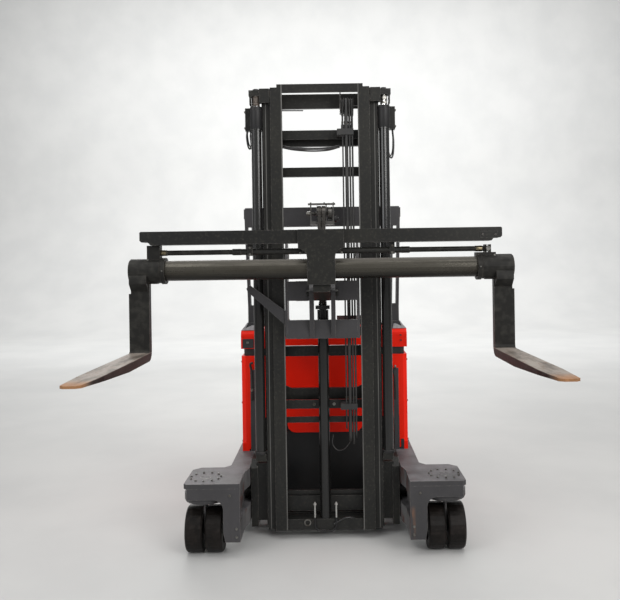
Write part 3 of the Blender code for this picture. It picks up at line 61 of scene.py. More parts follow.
# %% [markdown]
# The camera stands where the photograph was taken from: 1.8 m up, 4.8 m in front and level. It was
# fitted to the picture's straight edges. The picture is cut off-centre, which a lens shift gives without
# tilting the camera, so that upright edges stay upright.

# %% Place the camera
data = bpy.data.cameras.new("photo_camera")
data.lens = 42.65
data.sensor_width = 36.0
data.shift_x, data.shift_y = -0.0315, -0.0561
data.dof.use_dof = False
camera = bpy.data.objects.new("photo_camera", data)
camera.location = (0.0488, -4.8443, 1.7958)
camera.rotation_euler = (math.radians(90), 0.0147, 0)
scene.collection.objects.link(camera)
scene.camera = camera

# %% [markdown]
# The truck was taken under long hall lamps. Large area lamps give the same soft light. The key hangs
# high on the right, because a low lamp in front would mirror in the dark paint and veil it.

# %% Hang the lamps
LAMPS = {
    "hall_lamps": ((0.3, -0.6, 5.6), (0, -0.1, 0.9), (8.0, 4.0), 210, (1.0, 0.99, 0.97)),
    "right_key": ((4.4, -6.2, 4.4), (0, 0, 1.1), (3.6, 3.0), 330, (1.0, 0.99, 0.975)),
    "left_fill": ((-5.0, -4.6, 3.4), (0, 0, 1.0), (3.0, 3.0), 110, (0.98, 0.99, 1.0)),
    "rear_fill": ((-1.5, 6.0, 4.0), (0, 0.8, 1.0), (4.0, 3.0), 110, (1.0, 0.99, 0.97)),
    "wall_wash": ((0.0, 9.5, 9.5), (0, 17.0, 2.5), (18.0, 3.0), 2200, (0.99, 1.0, 1.0)),
}
for name, (place, aim, size, power, tint) in LAMPS.items():
    data = bpy.data.lights.new(name, "AREA")
    data.shape = "RECTANGLE"
    data.size, data.size_y = size
    data.energy = power
    data.color = tint
    lamp = bpy.data.objects.new(name, data)
    lamp.location = place
    lamp.rotation_euler = (Vector(aim) - Vector(place)).to_track_quat("-Z", "Y").to_euler()
    scene.collection.objects.link(lamp)
world = bpy.data.worlds.new("studio_air")
world.use_nodes = True
world.node_tree.nodes["Background"].inputs["Color"].default_value = (0.90, 0.905, 0.91, 1)
world.node_tree.nodes["Background"].inputs["Strength"].default_value = 0.55
scene.world = world
print(len(LAMPS), "lamps")

# %% [markdown]
# A finish is a formula over the surface. Wrapping a node's output in a small class lets such a
# formula be written with + and *, and each operator adds its Math node. Colours are mixed in Mix
# nodes, since a Math node would turn them grey.

# %% Signals that add and multiply


def operation(kind, swapped=False):
    """A method that joins a signal and another value with a Math node."""
    def join(self, other):
        first, second = (other, self) if swapped else (self, other)
        return self.paint.maths(kind, first, second)
    return join


class Sig:
    """One output of a node."""

    def __init__(self, paint, socket):
        self.paint, self.socket = paint, socket

    __add__ = __radd__ = operation("ADD")
    __sub__ = operation("SUBTRACT")
    __rsub__ = operation("SUBTRACT", swapped=True)
    __mul__ = __rmul__ = operation("MULTIPLY")
    most = operation("MAXIMUM")

    def size(self):
        return self.paint.maths("ABSOLUTE", self)

    def clip(self):
        return self.paint.ramp(self, 0.0, 1.0)

# %% A material under construction
PAINTS = {}


class Paint:
    """A material, with object coordinates in metres and the surface's own direction."""

    def __init__(self, name):
        self.name = name
        self.material = bpy.data.materials.new(name)
        self.material.use_nodes = True
        self.tree = self.material.node_tree
        self.shader = self.tree.nodes["Principled BSDF"]
        self.place = self.node("TexCoord", out="Object")
        self.x, self.y, self.z = self.split(self.place)
        self.facing = self.split(self.node("TexCoord", out="Normal"))

    def feed(self, socket, value):
        """Link a signal, or set a plain number or colour on the socket itself."""
        if isinstance(value, Sig):
            self.tree.links.new(value.socket, socket)
        elif socket.type == "RGBA":
            socket.default_value = (*value, 1)
        else:
            socket.default_value = value

    def node(self, kind, settings=(), sockets=(), out=0):
        """Add a node: its settings first, then the value or link of each socket."""
        node = self.tree.nodes.new("ShaderNode" + kind)
        for name, value in dict(settings).items():
            setattr(node, name, value)
        for name, value in dict(sockets).items():
            self.feed(node.inputs[name], value)
        return Sig(self, node.outputs[out])

    def split(self, vector):
        node = self.node("SeparateXYZ", (), {0: vector}).socket.node
        return [Sig(self, out) for out in node.outputs]

    def maths(self, kind, *values):
        return self.node("Math", {"operation": kind}, enumerate(values))

    def ramp(self, value, low, high, to_low=0.0, to_high=1.0):
        """An S-shaped step: to_low up to low, to_high from high on."""
        return self.node("MapRange", {"interpolation_type": "SMOOTHSTEP"},
                         enumerate((value, low, high, to_low, to_high)))

    def stretched(self, stretch, offset=(0, 0, 0)):
        return self.node("Mapping", (), {"Vector": self.place, "Scale": stretch, "Location": offset})

    def noise(self, per_metre, detail=3.0, stretch=(1, 1, 1), rough=0.55, offset=(0, 0, 0)):
        """Fractal noise from 0 to 1, with about per_metre lumps in a metre."""
        return self.node("TexNoise", (), {"Vector": self.stretched(stretch, offset), "Scale": per_metre,
                                          "Detail": detail, "Roughness": rough}, "Fac")

    def cells(self, per_metre, feature, stretch=(1, 1, 1)):
        """Distances in a cell pattern, for grain and cuts."""
        return self.node("TexVoronoi", {"feature": feature},
                         {"Vector": self.stretched(stretch), "Scale": per_metre}, "Distance")

    def edges(self, reach):
        """1 on sharp edges and 0 on flat faces: how far a rounded normal turns from the real one."""
        rounded_normal = self.node("Bevel", {"samples": 4}, {"Radius": reach})
        flat = self.node("NewGeometry", out="Normal")
        dot = self.node("VectorMath", {"operation": "DOT_PRODUCT"}, {0: rounded_normal, 1: flat}, "Value")
        return self.ramp(dot, 0.999, 0.90)

    def mix(self, amount, first, second):
        """Blend from the first colour to the second."""
        return self.node("Mix", {"data_type": "RGBA"}, {0: amount, 6: first, 7: second}, 2)

    def finish(self, colour, rough, metal=0.0, height=None, depth=0.0004, coat=0.0, specular=0.5):
        """Feed the shader and keep the finish; height times depth is the bump, in metres."""
        values = {"Base Color": colour, "Roughness": rough, "Metallic": metal, "Coat Weight": coat,
                  "Coat Roughness": 0.18, "Specular IOR Level": specular}
        if height is not None:
            values["Normal"] = self.node("Bump", (), {"Distance": depth, "Height": height})
        for name, value in values.items():
            self.feed(self.shader.inputs[name], value)
        PAINTS[self.name] = self.material
        return self.material

# %% [markdown]
# Sprayed paint on working steel: orange peel, soft stains, soot that runs down, dust on what faces up, a
# painted highlight along the edges and bare chips where things knock. One function makes them all, because
# the red, the grey and the mast's black differ only in colour, in how worn they are and in how strong
# their painted edge highlight is.

# %% Sprayed paint
BARE_CHIP = (0.30, 0.27, 0.25)
PAINTED_EDGE_HIGHLIGHT = (0.115, 0.112, 0.106)
SPECKS = (0.066, 0.063, 0.050)


def worn_paint(name, base, shade, rough, chips=0.35, dust=0.25, dust_tint=(0.36, 0.33, 0.29), coat=0.0,
               grime=0.35, specular=0.5, mottle=0.0, rim=0.0, marks=None):
    """Paint, then specks, soot, dust, a painted edge highlight and chips laid over it, then marks of its
    own.
    """
    paint = Paint(name)
    fine = paint.noise(420, 2)
    peel = paint.noise(260, 1) * 0.5
    colour = paint.mix(paint.ramp(paint.noise(2.3, 5, rough=0.6), 0.35, 0.72), base, shade)
    if mottle:
        specks = paint.ramp(paint.noise(62, 6, rough=0.74), 0.50, 0.68)
        colour = paint.mix(specks * mottle, colour, SPECKS)
    soot = paint.ramp(paint.noise(9.0, 4, stretch=(1, 1, 0.07)), 0.56, 0.78) * grime
    colour = paint.mix(soot, colour, tuple(channel * 0.45 for channel in base))
    up = paint.ramp(paint.facing[2], 0.55, 0.95)
    settled = up * paint.ramp(paint.noise(5.5, 5), 0.30, 0.68) * dust
    colour = paint.mix(settled, colour, dust_tint)
    sharp = paint.edges(0.0035)
    # rim sets a painted highlight: sharp edges are painted lighter, as if they caught the light.
    if rim:
        colour = paint.mix(sharp * rim, colour, PAINTED_EDGE_HIGHLIGHT)
    knocked = sharp * paint.ramp(paint.noise(46, 4), 0.47, 0.60) * chips
    scuffs = paint.ramp(paint.noise(19, 6, rough=0.72), 0.70, 0.735) * (chips * 0.8)
    bare = knocked.most(scuffs).clip()
    colour = paint.mix(bare, colour, BARE_CHIP)
    if marks:
        colour = marks(paint, colour)
    roughness = settled * 0.35 + soot * 0.15 + (fine - 0.5) * 0.10 + bare * 0.05 + rough
    height = peel - bare * 0.6 + settled * fine * 0.8
    return paint.finish(colour, roughness, bare * 0.7, height, 0.0005, coat, specular)

# %% [markdown]
# Two paints carry marks of their own. Each rail gets a painted highlight, a bright upright line along its
# inner edge, and the arms' inner faces get a painted highlight in patches, with rust there and one run of
# rust down the right arm's front.

# %% Marks on the rails and the arms


def edge_highlight_band(inner, outer, front, top):
    """A painted highlight: a bright line between two distances from the middle, on a rail's front face, up
    to a height.
    """
    def marks(paint, colour):
        across = paint.x.size()
        band = paint.ramp(across, inner, inner + 0.0008) * paint.ramp(across, outer, outer - 0.0008)
        band = band * paint.ramp(paint.y, front + 0.003, front + 0.001)
        band = band * paint.ramp(paint.z, top, top - 0.004)
        # worn only varies the strength of this painted highlight along the rail; it is not wear.
        worn = paint.ramp(paint.noise(5, 5, stretch=(1, 1, 0.5)), 0.30, 0.60)
        return paint.mix(band * (worn * 0.5 + 0.5), colour, (0.120, 0.118, 0.112))
    return marks


def arm_marks(paint, colour):
    """Inward is where the surface's direction and its side of the truck have opposite signs."""
    inward = paint.ramp(paint.facing[0] * paint.x, -0.15, -0.40)
    # The inner faces are painted lighter in noisy patches: a painted highlight on these sloped faces. The
    # rust below is the arms' own.
    patch = paint.ramp(paint.noise(6, 5, stretch=(1, 1, 0.5)), 0.36, 0.60)
    colour = paint.mix(inward * (patch * 0.6 + 0.3), colour, (0.150, 0.145, 0.145))
    rust = inward * paint.ramp(paint.noise(9, 6, stretch=(1, 1, 0.6), offset=(3, 1, 0)), 0.52, 0.62)
    colour = paint.mix(rust * 0.75, colour, (0.085, 0.028, 0.022))
    run = paint.ramp(paint.x, 0.515, 0.525) * paint.ramp(paint.x, 0.558, 0.546)
    run = run * paint.ramp(paint.z, 0.32, 0.26) * paint.ramp(paint.facing[1], -0.5, -0.9)
    run = run * paint.ramp(paint.noise(30, 5, stretch=(1, 1, 0.12)), 0.40, 0.62)
    return paint.mix(run * 0.8, colour, (0.190, 0.090, 0.048))

# %% Mix the paints
# rim is how strong each paint's painted edge highlight is.
SOOTY = (0.10, 0.095, 0.085)
PALE_DUST = (0.25, 0.24, 0.25)
GREY = dict(base=(0.044, 0.042, 0.045), shade=(0.032, 0.031, 0.033), rough=0.46, dust=0.60,
            dust_tint=PALE_DUST, grime=0.40, specular=0.35, mottle=0.25)
MAST = dict(rough=0.36, chips=0.55, dust=0.10, dust_tint=SOOTY, grime=0.5, specular=0.26, mottle=0.30)
RAIL = dict(base=(0.0125, 0.0124, 0.0120), shade=(0.0185, 0.0180, 0.0155), rim=0.4, **MAST)
worn_paint("red_paint", (0.860, 0.014, 0.002), (0.770, 0.012, 0.002), 0.42, chips=0.20, dust=0.10,
           dust_tint=(0.42, 0.14, 0.10), grime=0.18, specular=0.15)
worn_paint("anthracite_paint", chips=0.55, rim=0.5, **GREY)
worn_paint("arm_paint", chips=0.60, rim=0.6, marks=arm_marks, **GREY)
worn_paint("mast_paint", (0.0105, 0.0104, 0.0100), (0.0165, 0.0160, 0.0135), rim=0.5, **MAST)
worn_paint("inner_rail", marks=edge_highlight_band(0.2484, 0.2555, -0.0355, 2.990), **RAIL)
worn_paint("middle_rail", marks=edge_highlight_band(0.3560, 0.3620, -0.0005, 2.868), **RAIL)
worn_paint("cylinder_paint", (0.008, 0.008, 0.008), (0.011, 0.011, 0.010), 0.20, chips=0.30, dust=0.08,
           dust_tint=SOOTY, grime=0.3, specular=0.45)
worn_paint("black_steel", (0.012, 0.012, 0.013), (0.018, 0.017, 0.017), 0.48, chips=0.30, dust=0.30,
           dust_tint=(0.14, 0.135, 0.125), specular=0.3)

# %% [markdown]
# Small metal and rubber things need only a clean colour and a soiled one, parted by a cloud that
# also moves the roughness and the metal. Each has a fine grain of its own for the bump.

# %% Mix the small finishes


def total(start, *terms):
    """The start plus each signal times its weight; a weight of nothing adds no node."""
    for signal, weight in terms:
        if weight:
            start = start + signal * weight
    return start


def two_tone(name, cloud, clean, soiled, rough, metal, grain, depth, share=1.0, coat=0.0, relief=0.0):
    """cloud is scale, detail, jaggedness, low, high; rough and metal are a value and its weights."""
    paint = Paint(name)
    scale, detail, jag, low, high = cloud
    mask = paint.ramp(paint.noise(scale, detail, rough=jag), low, high)
    fine = paint.noise(*grain) if grain else mask
    colour = paint.mix(mask * share, clean, soiled)
    roughness = total(rough[0], *zip((mask, fine), rough[1:]))
    metallic = total(metal[0], *zip((mask,), metal[1:]))
    return paint.finish(colour, roughness, metallic, total(fine, (mask, relief)), depth, coat)


two_tone("bare_steel", (17, 5, 0.65, 0.46, 0.72), (0.110, 0.106, 0.100), (0.030, 0.026, 0.021),
         (0.30, 0.30, 0.10), (0.75,), (80, 3, (14, 0.5, 0.5)), 0.0001, relief=0.4)
two_tone("pale_casting", (18, 5, 0.55, 0.38, 0.70), (0.46, 0.46, 0.47), (0.24, 0.24, 0.25),
         (0.52, 0.10), (0.0,), (420, 2), 0.0003)
two_tone("chain_steel", (26, 5, 0.55, 0.38, 0.66), (0.085, 0.080, 0.074), (0.026, 0.022, 0.018),
         (0.26, 0.22, 0.08), (0.85, -0.40), (600, 2), 0.0002)
two_tone("bolt_steel", (38, 4, 0.55, 0.42, 0.66), (0.20, 0.195, 0.18), (0.060, 0.053, 0.044),
         (0.32, 0.25), (0.85, -0.35), (500, 2), 0.0002)
two_tone("yellow_fitting", (45, 4, 0.55, 0.40, 0.70), (0.24, 0.20, 0.125), (0.105, 0.088, 0.055),
         (0.27, 0.20), (0.9,), (300, 2), 0.0002)
two_tone("hose_rubber", (21, 5, 0.55, 0.50, 0.75), (0.012, 0.012, 0.012), (0.062, 0.058, 0.052),
         (0.30, 0.25), (0.0,), (900, 2, (1, 1, 0.35)), 0.0003, share=0.6)
two_tone("rusted_steel", (70, 6, 0.70, 0.40, 0.62), (0.085, 0.062, 0.048), (0.155, 0.135, 0.120),
         (0.55, 0.10), (0.3,), None, 0.0004)
two_tone("dark_screen", (11, 5, 0.55, 0.45, 0.75), (0.006, 0.007, 0.009), (0.020, 0.021, 0.022),
         (0.10, 0.22), (0.0,), None, 0.0001, share=0.3, coat=0.6)

# %% [markdown]
# The larger plain surfaces each get a formula of their own: moulded plastic and seat vinyl have a
# cell grain, rubber has two sizes of grain, and turned rods and the ribbed lens have drawn-out noise.

# %% Plastic, vinyl, rubber, rods and the lens


def make_plastic():
    """Grained black moulding with dust on what faces up."""
    paint = Paint("black_plastic")
    wear = paint.ramp(paint.noise(8, 4), 0.45, 0.75)
    colour = paint.mix(wear, (0.016, 0.016, 0.017), (0.030, 0.030, 0.031))
    dust = paint.ramp(paint.facing[2], 0.6, 1.0) * paint.ramp(paint.noise(7, 5), 0.35, 0.7) * 0.35
    colour = paint.mix(dust, colour, (0.20, 0.19, 0.18))
    return paint.finish(colour, wear * 0.12 + dust * 0.2 + 0.48, 0.0, paint.cells(520, "SMOOTH_F1"))


def make_vinyl():
    """Black seat vinyl with a leather grain and soft shine on the high spots."""
    paint = Paint("seat_vinyl")
    pores = paint.ramp(paint.cells(330, "DISTANCE_TO_EDGE"), 0.0, 0.16)
    wear = paint.ramp(paint.noise(6, 4), 0.4, 0.75)
    colour = paint.mix(wear, (0.014, 0.014, 0.015), (0.028, 0.027, 0.027))
    return paint.finish(colour, 0.55 - wear * 0.12, 0.0, pores + paint.noise(60, 3) * 0.6, 0.0005)


def make_rubber():
    """Black rubber, dull, with a bloom of dust."""
    paint = Paint("black_rubber")
    bloom = paint.ramp(paint.noise(14, 5), 0.35, 0.75)
    colour = paint.mix(bloom * 0.6, (0.014, 0.014, 0.014), (0.055, 0.052, 0.048))
    height = paint.noise(700, 2) + paint.noise(90, 3) * 0.5
    return paint.finish(colour, bloom * 0.18 + 0.62, 0.0, height, 0.0003)


def make_chrome():
    """Hard-chromed rod with fine turning lines and a thin oil film."""
    paint = Paint("rod_chrome")
    lines = paint.noise(60, 2, (0.3, 0.3, 26))
    film = paint.ramp(paint.noise(6, 4), 0.45, 0.8)
    colour = paint.mix(film * 0.35, (0.72, 0.71, 0.69), (0.34, 0.27, 0.17))
    return paint.finish(colour, film * 0.15 + lines * 0.08 + 0.13, 1.0, lines, 0.00005)


def make_lines(name, pattern, first, second, rough, metal, depth, coat=0.0):
    """Two colours in lines; the lines are noise drawn out along one or two axes."""
    paint = Paint(name)
    lines = paint.noise(*pattern)
    return paint.finish(paint.mix(lines, first, second), total(rough[0], (lines, rough[1])), metal, lines,
                        depth, coat)


make_plastic()
make_vinyl()
make_rubber()
make_chrome()
make_lines("bright_rod", (60, 2, (0.3, 0.3, 14)), (0.52, 0.52, 0.50), (0.30, 0.29, 0.27), (0.34, 0),
           0.6, 0.0002)
make_lines("ruby_lens", (30, 1, (9, 0.4, 0.4)), (0.40, 0.012, 0.010), (0.248, 0.00744, 0.0062),
           (0.16, 0.05), 0.0, 0.0004, coat=0.5)

# %% [markdown]
# Three finishes show what the truck does all day. The tyres are brown-black polyurethane with cuts and
# ground-in dust. The round tube is greased, with a painted highlight that makes its top pale and painted
# shade that makes its underside dark. The forks keep their mill scale, but loads rub the blades' tops and
# tips to brown steel, and the forks' edges get a painted highlight.

# %% Tyres, greased tube and forks


def make_tread():
    paint = Paint("wheel_tread")
    cloud = paint.ramp(paint.noise(11, 5), 0.35, 0.7)
    colour = paint.mix(cloud, (0.0045, 0.0037, 0.0032), (0.0100, 0.0078, 0.0068))
    dust = paint.ramp(paint.noise(28, 6, rough=0.7), 0.48, 0.72)
    colour = paint.mix(dust * 0.16, colour, (0.085, 0.068, 0.058))
    cuts = paint.ramp(paint.cells(60, "DISTANCE_TO_EDGE", (0.35, 1, 1)), 0.0, 0.018, 1.0, 0.0)
    colour = paint.mix(cuts * 0.5, colour, (0.010, 0.008, 0.007))
    height = paint.noise(240, 3) * 0.4 - cuts * 0.7
    return paint.finish(colour, dust * 0.25 + 0.40, 0.0, height, 0.0006, specular=0.15)


def make_greased():
    paint = Paint("greased_steel")
    smear = paint.noise(7, 5, stretch=(0.35, 1, 1), rough=0.62)
    film = paint.ramp(smear, 0.32, 0.66)
    flecks = paint.ramp(paint.noise(120, 4), 0.58, 0.68)
    colour = paint.mix(film, (0.082, 0.076, 0.063), (0.030, 0.026, 0.018))
    colour = paint.mix(flecks * 0.6, colour, (0.024, 0.019, 0.013))
    # Painted highlight: whatever faces up is painted pale, duller and less metallic, with no noise to
    # break it; dust is only its name.
    dust = paint.ramp(paint.facing[2], 0.55, 0.97)
    colour = paint.mix(dust * 0.75, colour, (0.215, 0.200, 0.178))
    # Painted shade: whatever faces down is painted nearly black.
    under = paint.ramp(paint.facing[2], 0.05, -0.75)
    colour = paint.mix(under * 0.8, colour, (0.006, 0.005, 0.004))
    metal = (0.75 - film * 0.40) * (1 - dust)
    rough = film * 0.14 + flecks * 0.2 + dust * 0.2 + 0.24
    return paint.finish(colour, rough, metal, smear + flecks * 0.3, 0.0004)


def make_fork_steel():
    """The rub is masked by height, for the blade's top, and by distance along it, for the tip; the edges
    get a painted highlight.
    """
    paint = Paint("worn_fork_steel")
    rub = paint.ramp(paint.noise(13, 6, stretch=(1, 0.25, 1), rough=0.68), 0.34, 0.62)
    scale = paint.mix(paint.ramp(paint.noise(24, 5), 0.4, 0.7), (0.016, 0.0155, 0.0145),
                      (0.030, 0.029, 0.026))
    top = paint.ramp(paint.z, 1.288, 1.2925) * paint.ramp(paint.z, 1.2960, 1.2945)
    tip = paint.ramp(paint.y, -1.50, -1.68)
    # corner is a painted highlight along the fork's edges, so worn holds both the rub and this painted
    # highlight.
    corner = paint.edges(0.004) * 0.30
    worn = (top * (rub * 0.55 + 0.45)).most(tip * (rub * 0.4 + 0.6)).most(corner).clip()
    steel = paint.mix(rub, (0.200, 0.166, 0.140), (0.265, 0.234, 0.206))
    rust = paint.ramp(paint.noise(33, 6, rough=0.7), 0.55, 0.72)
    steel = paint.mix(rust * 0.8, steel, (0.175, 0.078, 0.034))
    steel = paint.mix(tip, steel, (0.320, 0.165, 0.080))
    scratch = paint.noise(150, 4, stretch=(1, 0.05, 1))
    rough = worn * 0.08 + rust * worn * 0.15 + (scratch - 0.5) * 0.12 + 0.44
    return paint.finish(paint.mix(worn, scale, steel), rough, worn * 0.10 + 0.05, scratch + rust * worn,
                        0.0004, specular=0.10)


make_tread()
make_greased()
make_fork_steel()
print(len(PAINTS), "finishes")

# %% [markdown]
# The record names a material slot for every CAD node. A new piece takes the slot that is nearest
# to its finish, and a few nodes get a finer finish than their slot says.

# %% Dress the CAD nodes
FINER = {
    "lift_cylinder_left": "cylinder_paint",
    "lift_cylinder_right": "cylinder_paint",
    "free_lift_cylinder": "cylinder_paint",
    "chassis_frame": "black_steel",
    "lift_carriage": "anthracite_paint",
    "mast_inner": "inner_rail",
    "mast_middle": "middle_rail",
    "load_arm_left": "arm_paint",
    "load_arm_right": "arm_paint",
}
for part in frame["record"]["subparts"]:
    node = part["node"]
    mesh = NODES[node].data
    if not mesh.materials:
        mesh.materials.append(None)
    for index in range(len(mesh.materials)):
        mesh.materials[index] = PAINTS[FINER.get(node, part["material_slot"])]

# %% [markdown]
# A pale floor, which isn't part of the truck. It turns up into a wall far behind it, so that no
# horizon shows in the picture.

# %% Lay the floor
REACH, BEND, HALF_WIDTH, WALL_TOP = 14.0, 5.0, 70.0, 22.0
turn = np.radians(7.5 * np.arange(13))
way = np.concatenate([[(-60.0, 0.0), (-16.0, 0.0)],
                      np.column_stack([REACH + BEND * np.sin(turn), BEND - BEND * np.cos(turn)]),
                      [(REACH + BEND, WALL_TOP)]])
verts = np.concatenate([np.insert(way, 0, -HALF_WIDTH, axis=1), np.insert(way, 0, HALF_WIDTH, axis=1)])
low = np.arange(len(way) - 1)
faces = np.column_stack([low, low + len(way), low + len(way) + 1, low + 1])
mesh = bpy.data.meshes.new("hall_floor")
mesh.from_pydata(verts, [], faces.tolist())
mesh.shade_smooth()
floor = bpy.data.objects.new("hall_floor", mesh)
scene.collection.objects.link(floor)
paint = Paint("hall_floor")
cloud = paint.ramp(paint.noise(0.9, 4), 0.3, 0.7)
mesh.materials.append(paint.finish(paint.mix(cloud, (0.49, 0.49, 0.485), (0.53, 0.528, 0.52)), 0.60))

# %% [markdown]
# Most of the small pieces are turned, drawn out or bent from round bar, so one kit makes them all.
# Every shape is a grid of points: rows along it, columns round it. A grid is worked out as one
# numpy array and skinned with quads. Primitives placed one by one would take far more lines.
# Places are counted as in the CAD source, with y from the load wheels' axis; ride() shifts them.

# %% Points round an axis and along an arc
MID_Y = 0.1855
AXES = {"X": (1, 2, 0), "Y": (0, 2, 1), "Z": (0, 1, 2)}


def laid(axis, first, second, along):
    """A grid of points from two coordinates across an axis and one along it."""
    grid = np.empty((*np.broadcast(first, second, along).shape, 3))
    for place, values in zip(AXES[axis], (first, second, along)):
        grid[..., place] = values
    return grid


def turned(profile, axis, centre, angles):
    """Each (along, radius) point at each angle: the centre plus radius times cosine and sine."""
    along, radius = np.array(profile, dtype=float).T[:, :, None]
    return laid(axis, centre[0] + radius * np.cos(angles), centre[1] + radius * np.sin(angles), along)


def arc(centre_a, centre_b, radius, start, end, steps=6):
    """Points along an arc, at equal angles given in degrees."""
    angle = np.radians(np.linspace(start, end, steps + 1))
    return list(zip(centre_a + radius * np.cos(angle), centre_b + radius * np.sin(angle)))


def circle_of(count, radius, first=0.0):
    """Equal steps round a circle: the radius times cosine and sine of each angle."""
    angle = math.tau * (np.arange(count) + first) / count
    return zip(radius * np.cos(angle), radius * np.sin(angle))


def rounded(a0, a1, b0, b1, radius, steps=4):
    """A rectangle's outline: a quarter arc in each corner, a radius in from both sides."""
    corners = ((a1 - radius, b1 - radius, 0), (a0 + radius, b1 - radius, 90),
               (a0 + radius, b0 + radius, 180), (a1 - radius, b0 + radius, 270))
    return [point for a, b, turn in corners for point in arc(a, b, radius, turn, turn + 90, steps)]


def route(points, per_leg=6):
    """A smooth way through the points: on each leg a Catmull-Rom cubic of the four nearest."""
    points = np.array(points, dtype=float)
    spans = np.concatenate([[points[0] * 2 - points[1]], points, [points[-1] * 2 - points[-2]]])
    p0, p1, p2, p3 = (spans[skip:len(spans) - 3 + skip, None] for skip in range(4))
    t = np.arange(per_leg)[:, None] / per_leg
    way = 0.5 * (p1 * 2 + (p2 - p0) * t + (p0 * 2 - p1 * 5 + p2 * 4 - p3) * t ** 2
                 + (p1 * 3 - p0 - p2 * 3 + p3) * t ** 3)
    return np.concatenate([way.reshape(-1, 3), points[-1:]])


class Shape:
    """Solids gathered in one mesh, which then rides on a body with one finish."""

    def __init__(self, name):
        self.name = name
        self.points, self.faces, self.count = [], [], 0

    def loft(self, rings, closed=False):
        """Join each row of points to the next with quads; an open row of rings gets two caps."""
        grid = np.array(rings, dtype=float)
        index = np.arange(grid[..., 0].size).reshape(grid.shape[:2]) + self.count
        low, high = (index, np.roll(index, -1, axis=0)) if closed else (index[:-1], index[1:])
        quads = np.stack([low, np.roll(low, -1, axis=1), np.roll(high, -1, axis=1), high], axis=-1)
        self.faces += quads.reshape(-1, 4).tolist()
        if not closed:
            self.faces += [index[0].tolist(), index[-1, ::-1].tolist()]
        self.points.append(grid.reshape(-1, 3))
        self.count += index.size
        return self

    def prism(self, outline, axis, start, end):
        """An outline drawn out along one axis: two rows, alike across it."""
        first, second = np.array(outline, dtype=float).T
        return self.loft(laid(axis, first, second, np.array([[start], [end]])))

    def box(self, x0, x1, y0, y1, z0, z1):
        return self.prism(((x0, y0), (x1, y0), (x1, y1), (x0, y1)), "Z", z0, z1)

    def lathe(self, profile, axis, centre, sides=24):
        """Turn (along, radius) points about an axis; both ends are capped."""
        return self.loft(turned(profile, axis, centre, math.tau * (np.arange(sides) + 0.5) / sides))

    def ring(self, profile, axis, centre, sides=32):
        """Turn a closed (along, radius) outline about an axis, with a hole in the middle."""
        grid = turned(profile, axis, centre, math.tau * np.arange(sides) / sides)
        return self.loft(grid.swapaxes(0, 1), closed=True)

    def tube(self, points, radius, sides=10, closed=False):
        """A circle carried along the points; at each one it stays square to the way between its
        neighbours, and its start is handed on so that the bar doesn't twist."""
        points = np.array(points, dtype=float)
        before, after = np.roll(points, 1, axis=0), np.roll(points, -1, axis=0)
        if not closed:
            before[0], after[-1] = points[0], points[-1]
        along = (after - before) / np.linalg.norm(after - before, axis=1, keepdims=True)
        side = np.array(Vector(along[0]).orthogonal())
        starts = []
        for way in along:
            side = side - way * (side @ way)
            side = side / np.linalg.norm(side)
            starts.append(side)
        starts = np.array(starts)
        spin = math.tau * np.arange(sides)[:, None] / sides
        spokes = starts[:, None] * np.cos(spin) + np.cross(along, starts)[:, None] * np.sin(spin)
        width = np.broadcast_to(radius, len(points))[:, None, None]
        return self.loft(points[:, None] + spokes * width, closed)

    def stud(self, at, towards, steps, sides=20):
        """Turned (along, radius) steps that stand on a point in any direction."""
        way = Vector(towards).normalized()
        side = way.orthogonal().normalized()
        spin = math.tau * (np.arange(sides) + 0.5) / sides
        spokes = np.outer(np.cos(spin), side) + np.outer(np.sin(spin), way.cross(side))
        along, radius = np.array(steps, dtype=float).T[:, :, None, None]
        return self.loft(np.array(at) + along * np.array(way) + radius * spokes)

    def bolt(self, at, towards, width):
        """A hexagon bolt of a given width over its head, on its washer."""
        half = width / 2
        self.stud(at, towards, ((-0.001, half * 1.30), (half * 0.22, half * 1.30),
                                (half * 0.30, half * 1.20)))
        return self.stud(at, towards, ((0, half), (half * 0.90, half), (half * 1.10, half * 0.86)), 6)

    def socket(self, at, towards, width):
        """A socket-head screw with its hollow."""
        half = width / 2
        steps = ((-0.001, half), (half * 1.1, half), (half * 1.25, half * 0.88),
                 (half * 1.25, half * 0.55), (half * 0.6, half * 0.52))
        return self.stud(at, towards, steps, 16)

    def ride(self, body, paint, bevel=0.0, smooth=38):
        """Close the mesh, turn its faces outward, give it its finish and hang it on its body."""
        mesh = bpy.data.meshes.new(self.name)
        points = np.concatenate(self.points).astype(np.float32) - (0, MID_Y, 0)
        mesh.from_pydata(points, [], self.faces)
        solid = bmesh.new()
        solid.from_mesh(mesh)
        bmesh.ops.recalc_face_normals(solid, faces=solid.faces)
        solid.to_mesh(mesh)
        solid.free()
        piece = bpy.data.objects.new(self.name, mesh)
        scene.collection.objects.link(piece)
        mesh.materials.append(PAINTS[paint])
        mesh.shade_smooth()
        mesh.set_sharp_from_angle(angle=math.radians(smooth))
        if bevel:
            rounding = piece.modifiers.new("edges", "BEVEL")
            rounding.width = bevel
            rounding.segments = 2
            rounding.limit_method = "ANGLE"
            rounding.angle_limit = math.radians(35)
            rounding.harden_normals = True
        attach(piece, body)
        print(f"{self.name} on {body}: {len(self.faces)} faces")
        return piece

# %% [markdown]
# Leaf chains lift the stages. A leaf chain is rows of waisted plates, laced in pairs on round pins.
# Modelling each plate keeps the comb of dark gaps that a bump on a flat strap would lose. The way
# is a list of pin places in the y-z plane, and each plate's outline is drawn out along x.

# %% One plate and a row of pins
PITCH = 0.0159
PLATE_H = 0.0120
PLATE_T = 0.0026
GAP = 0.0003


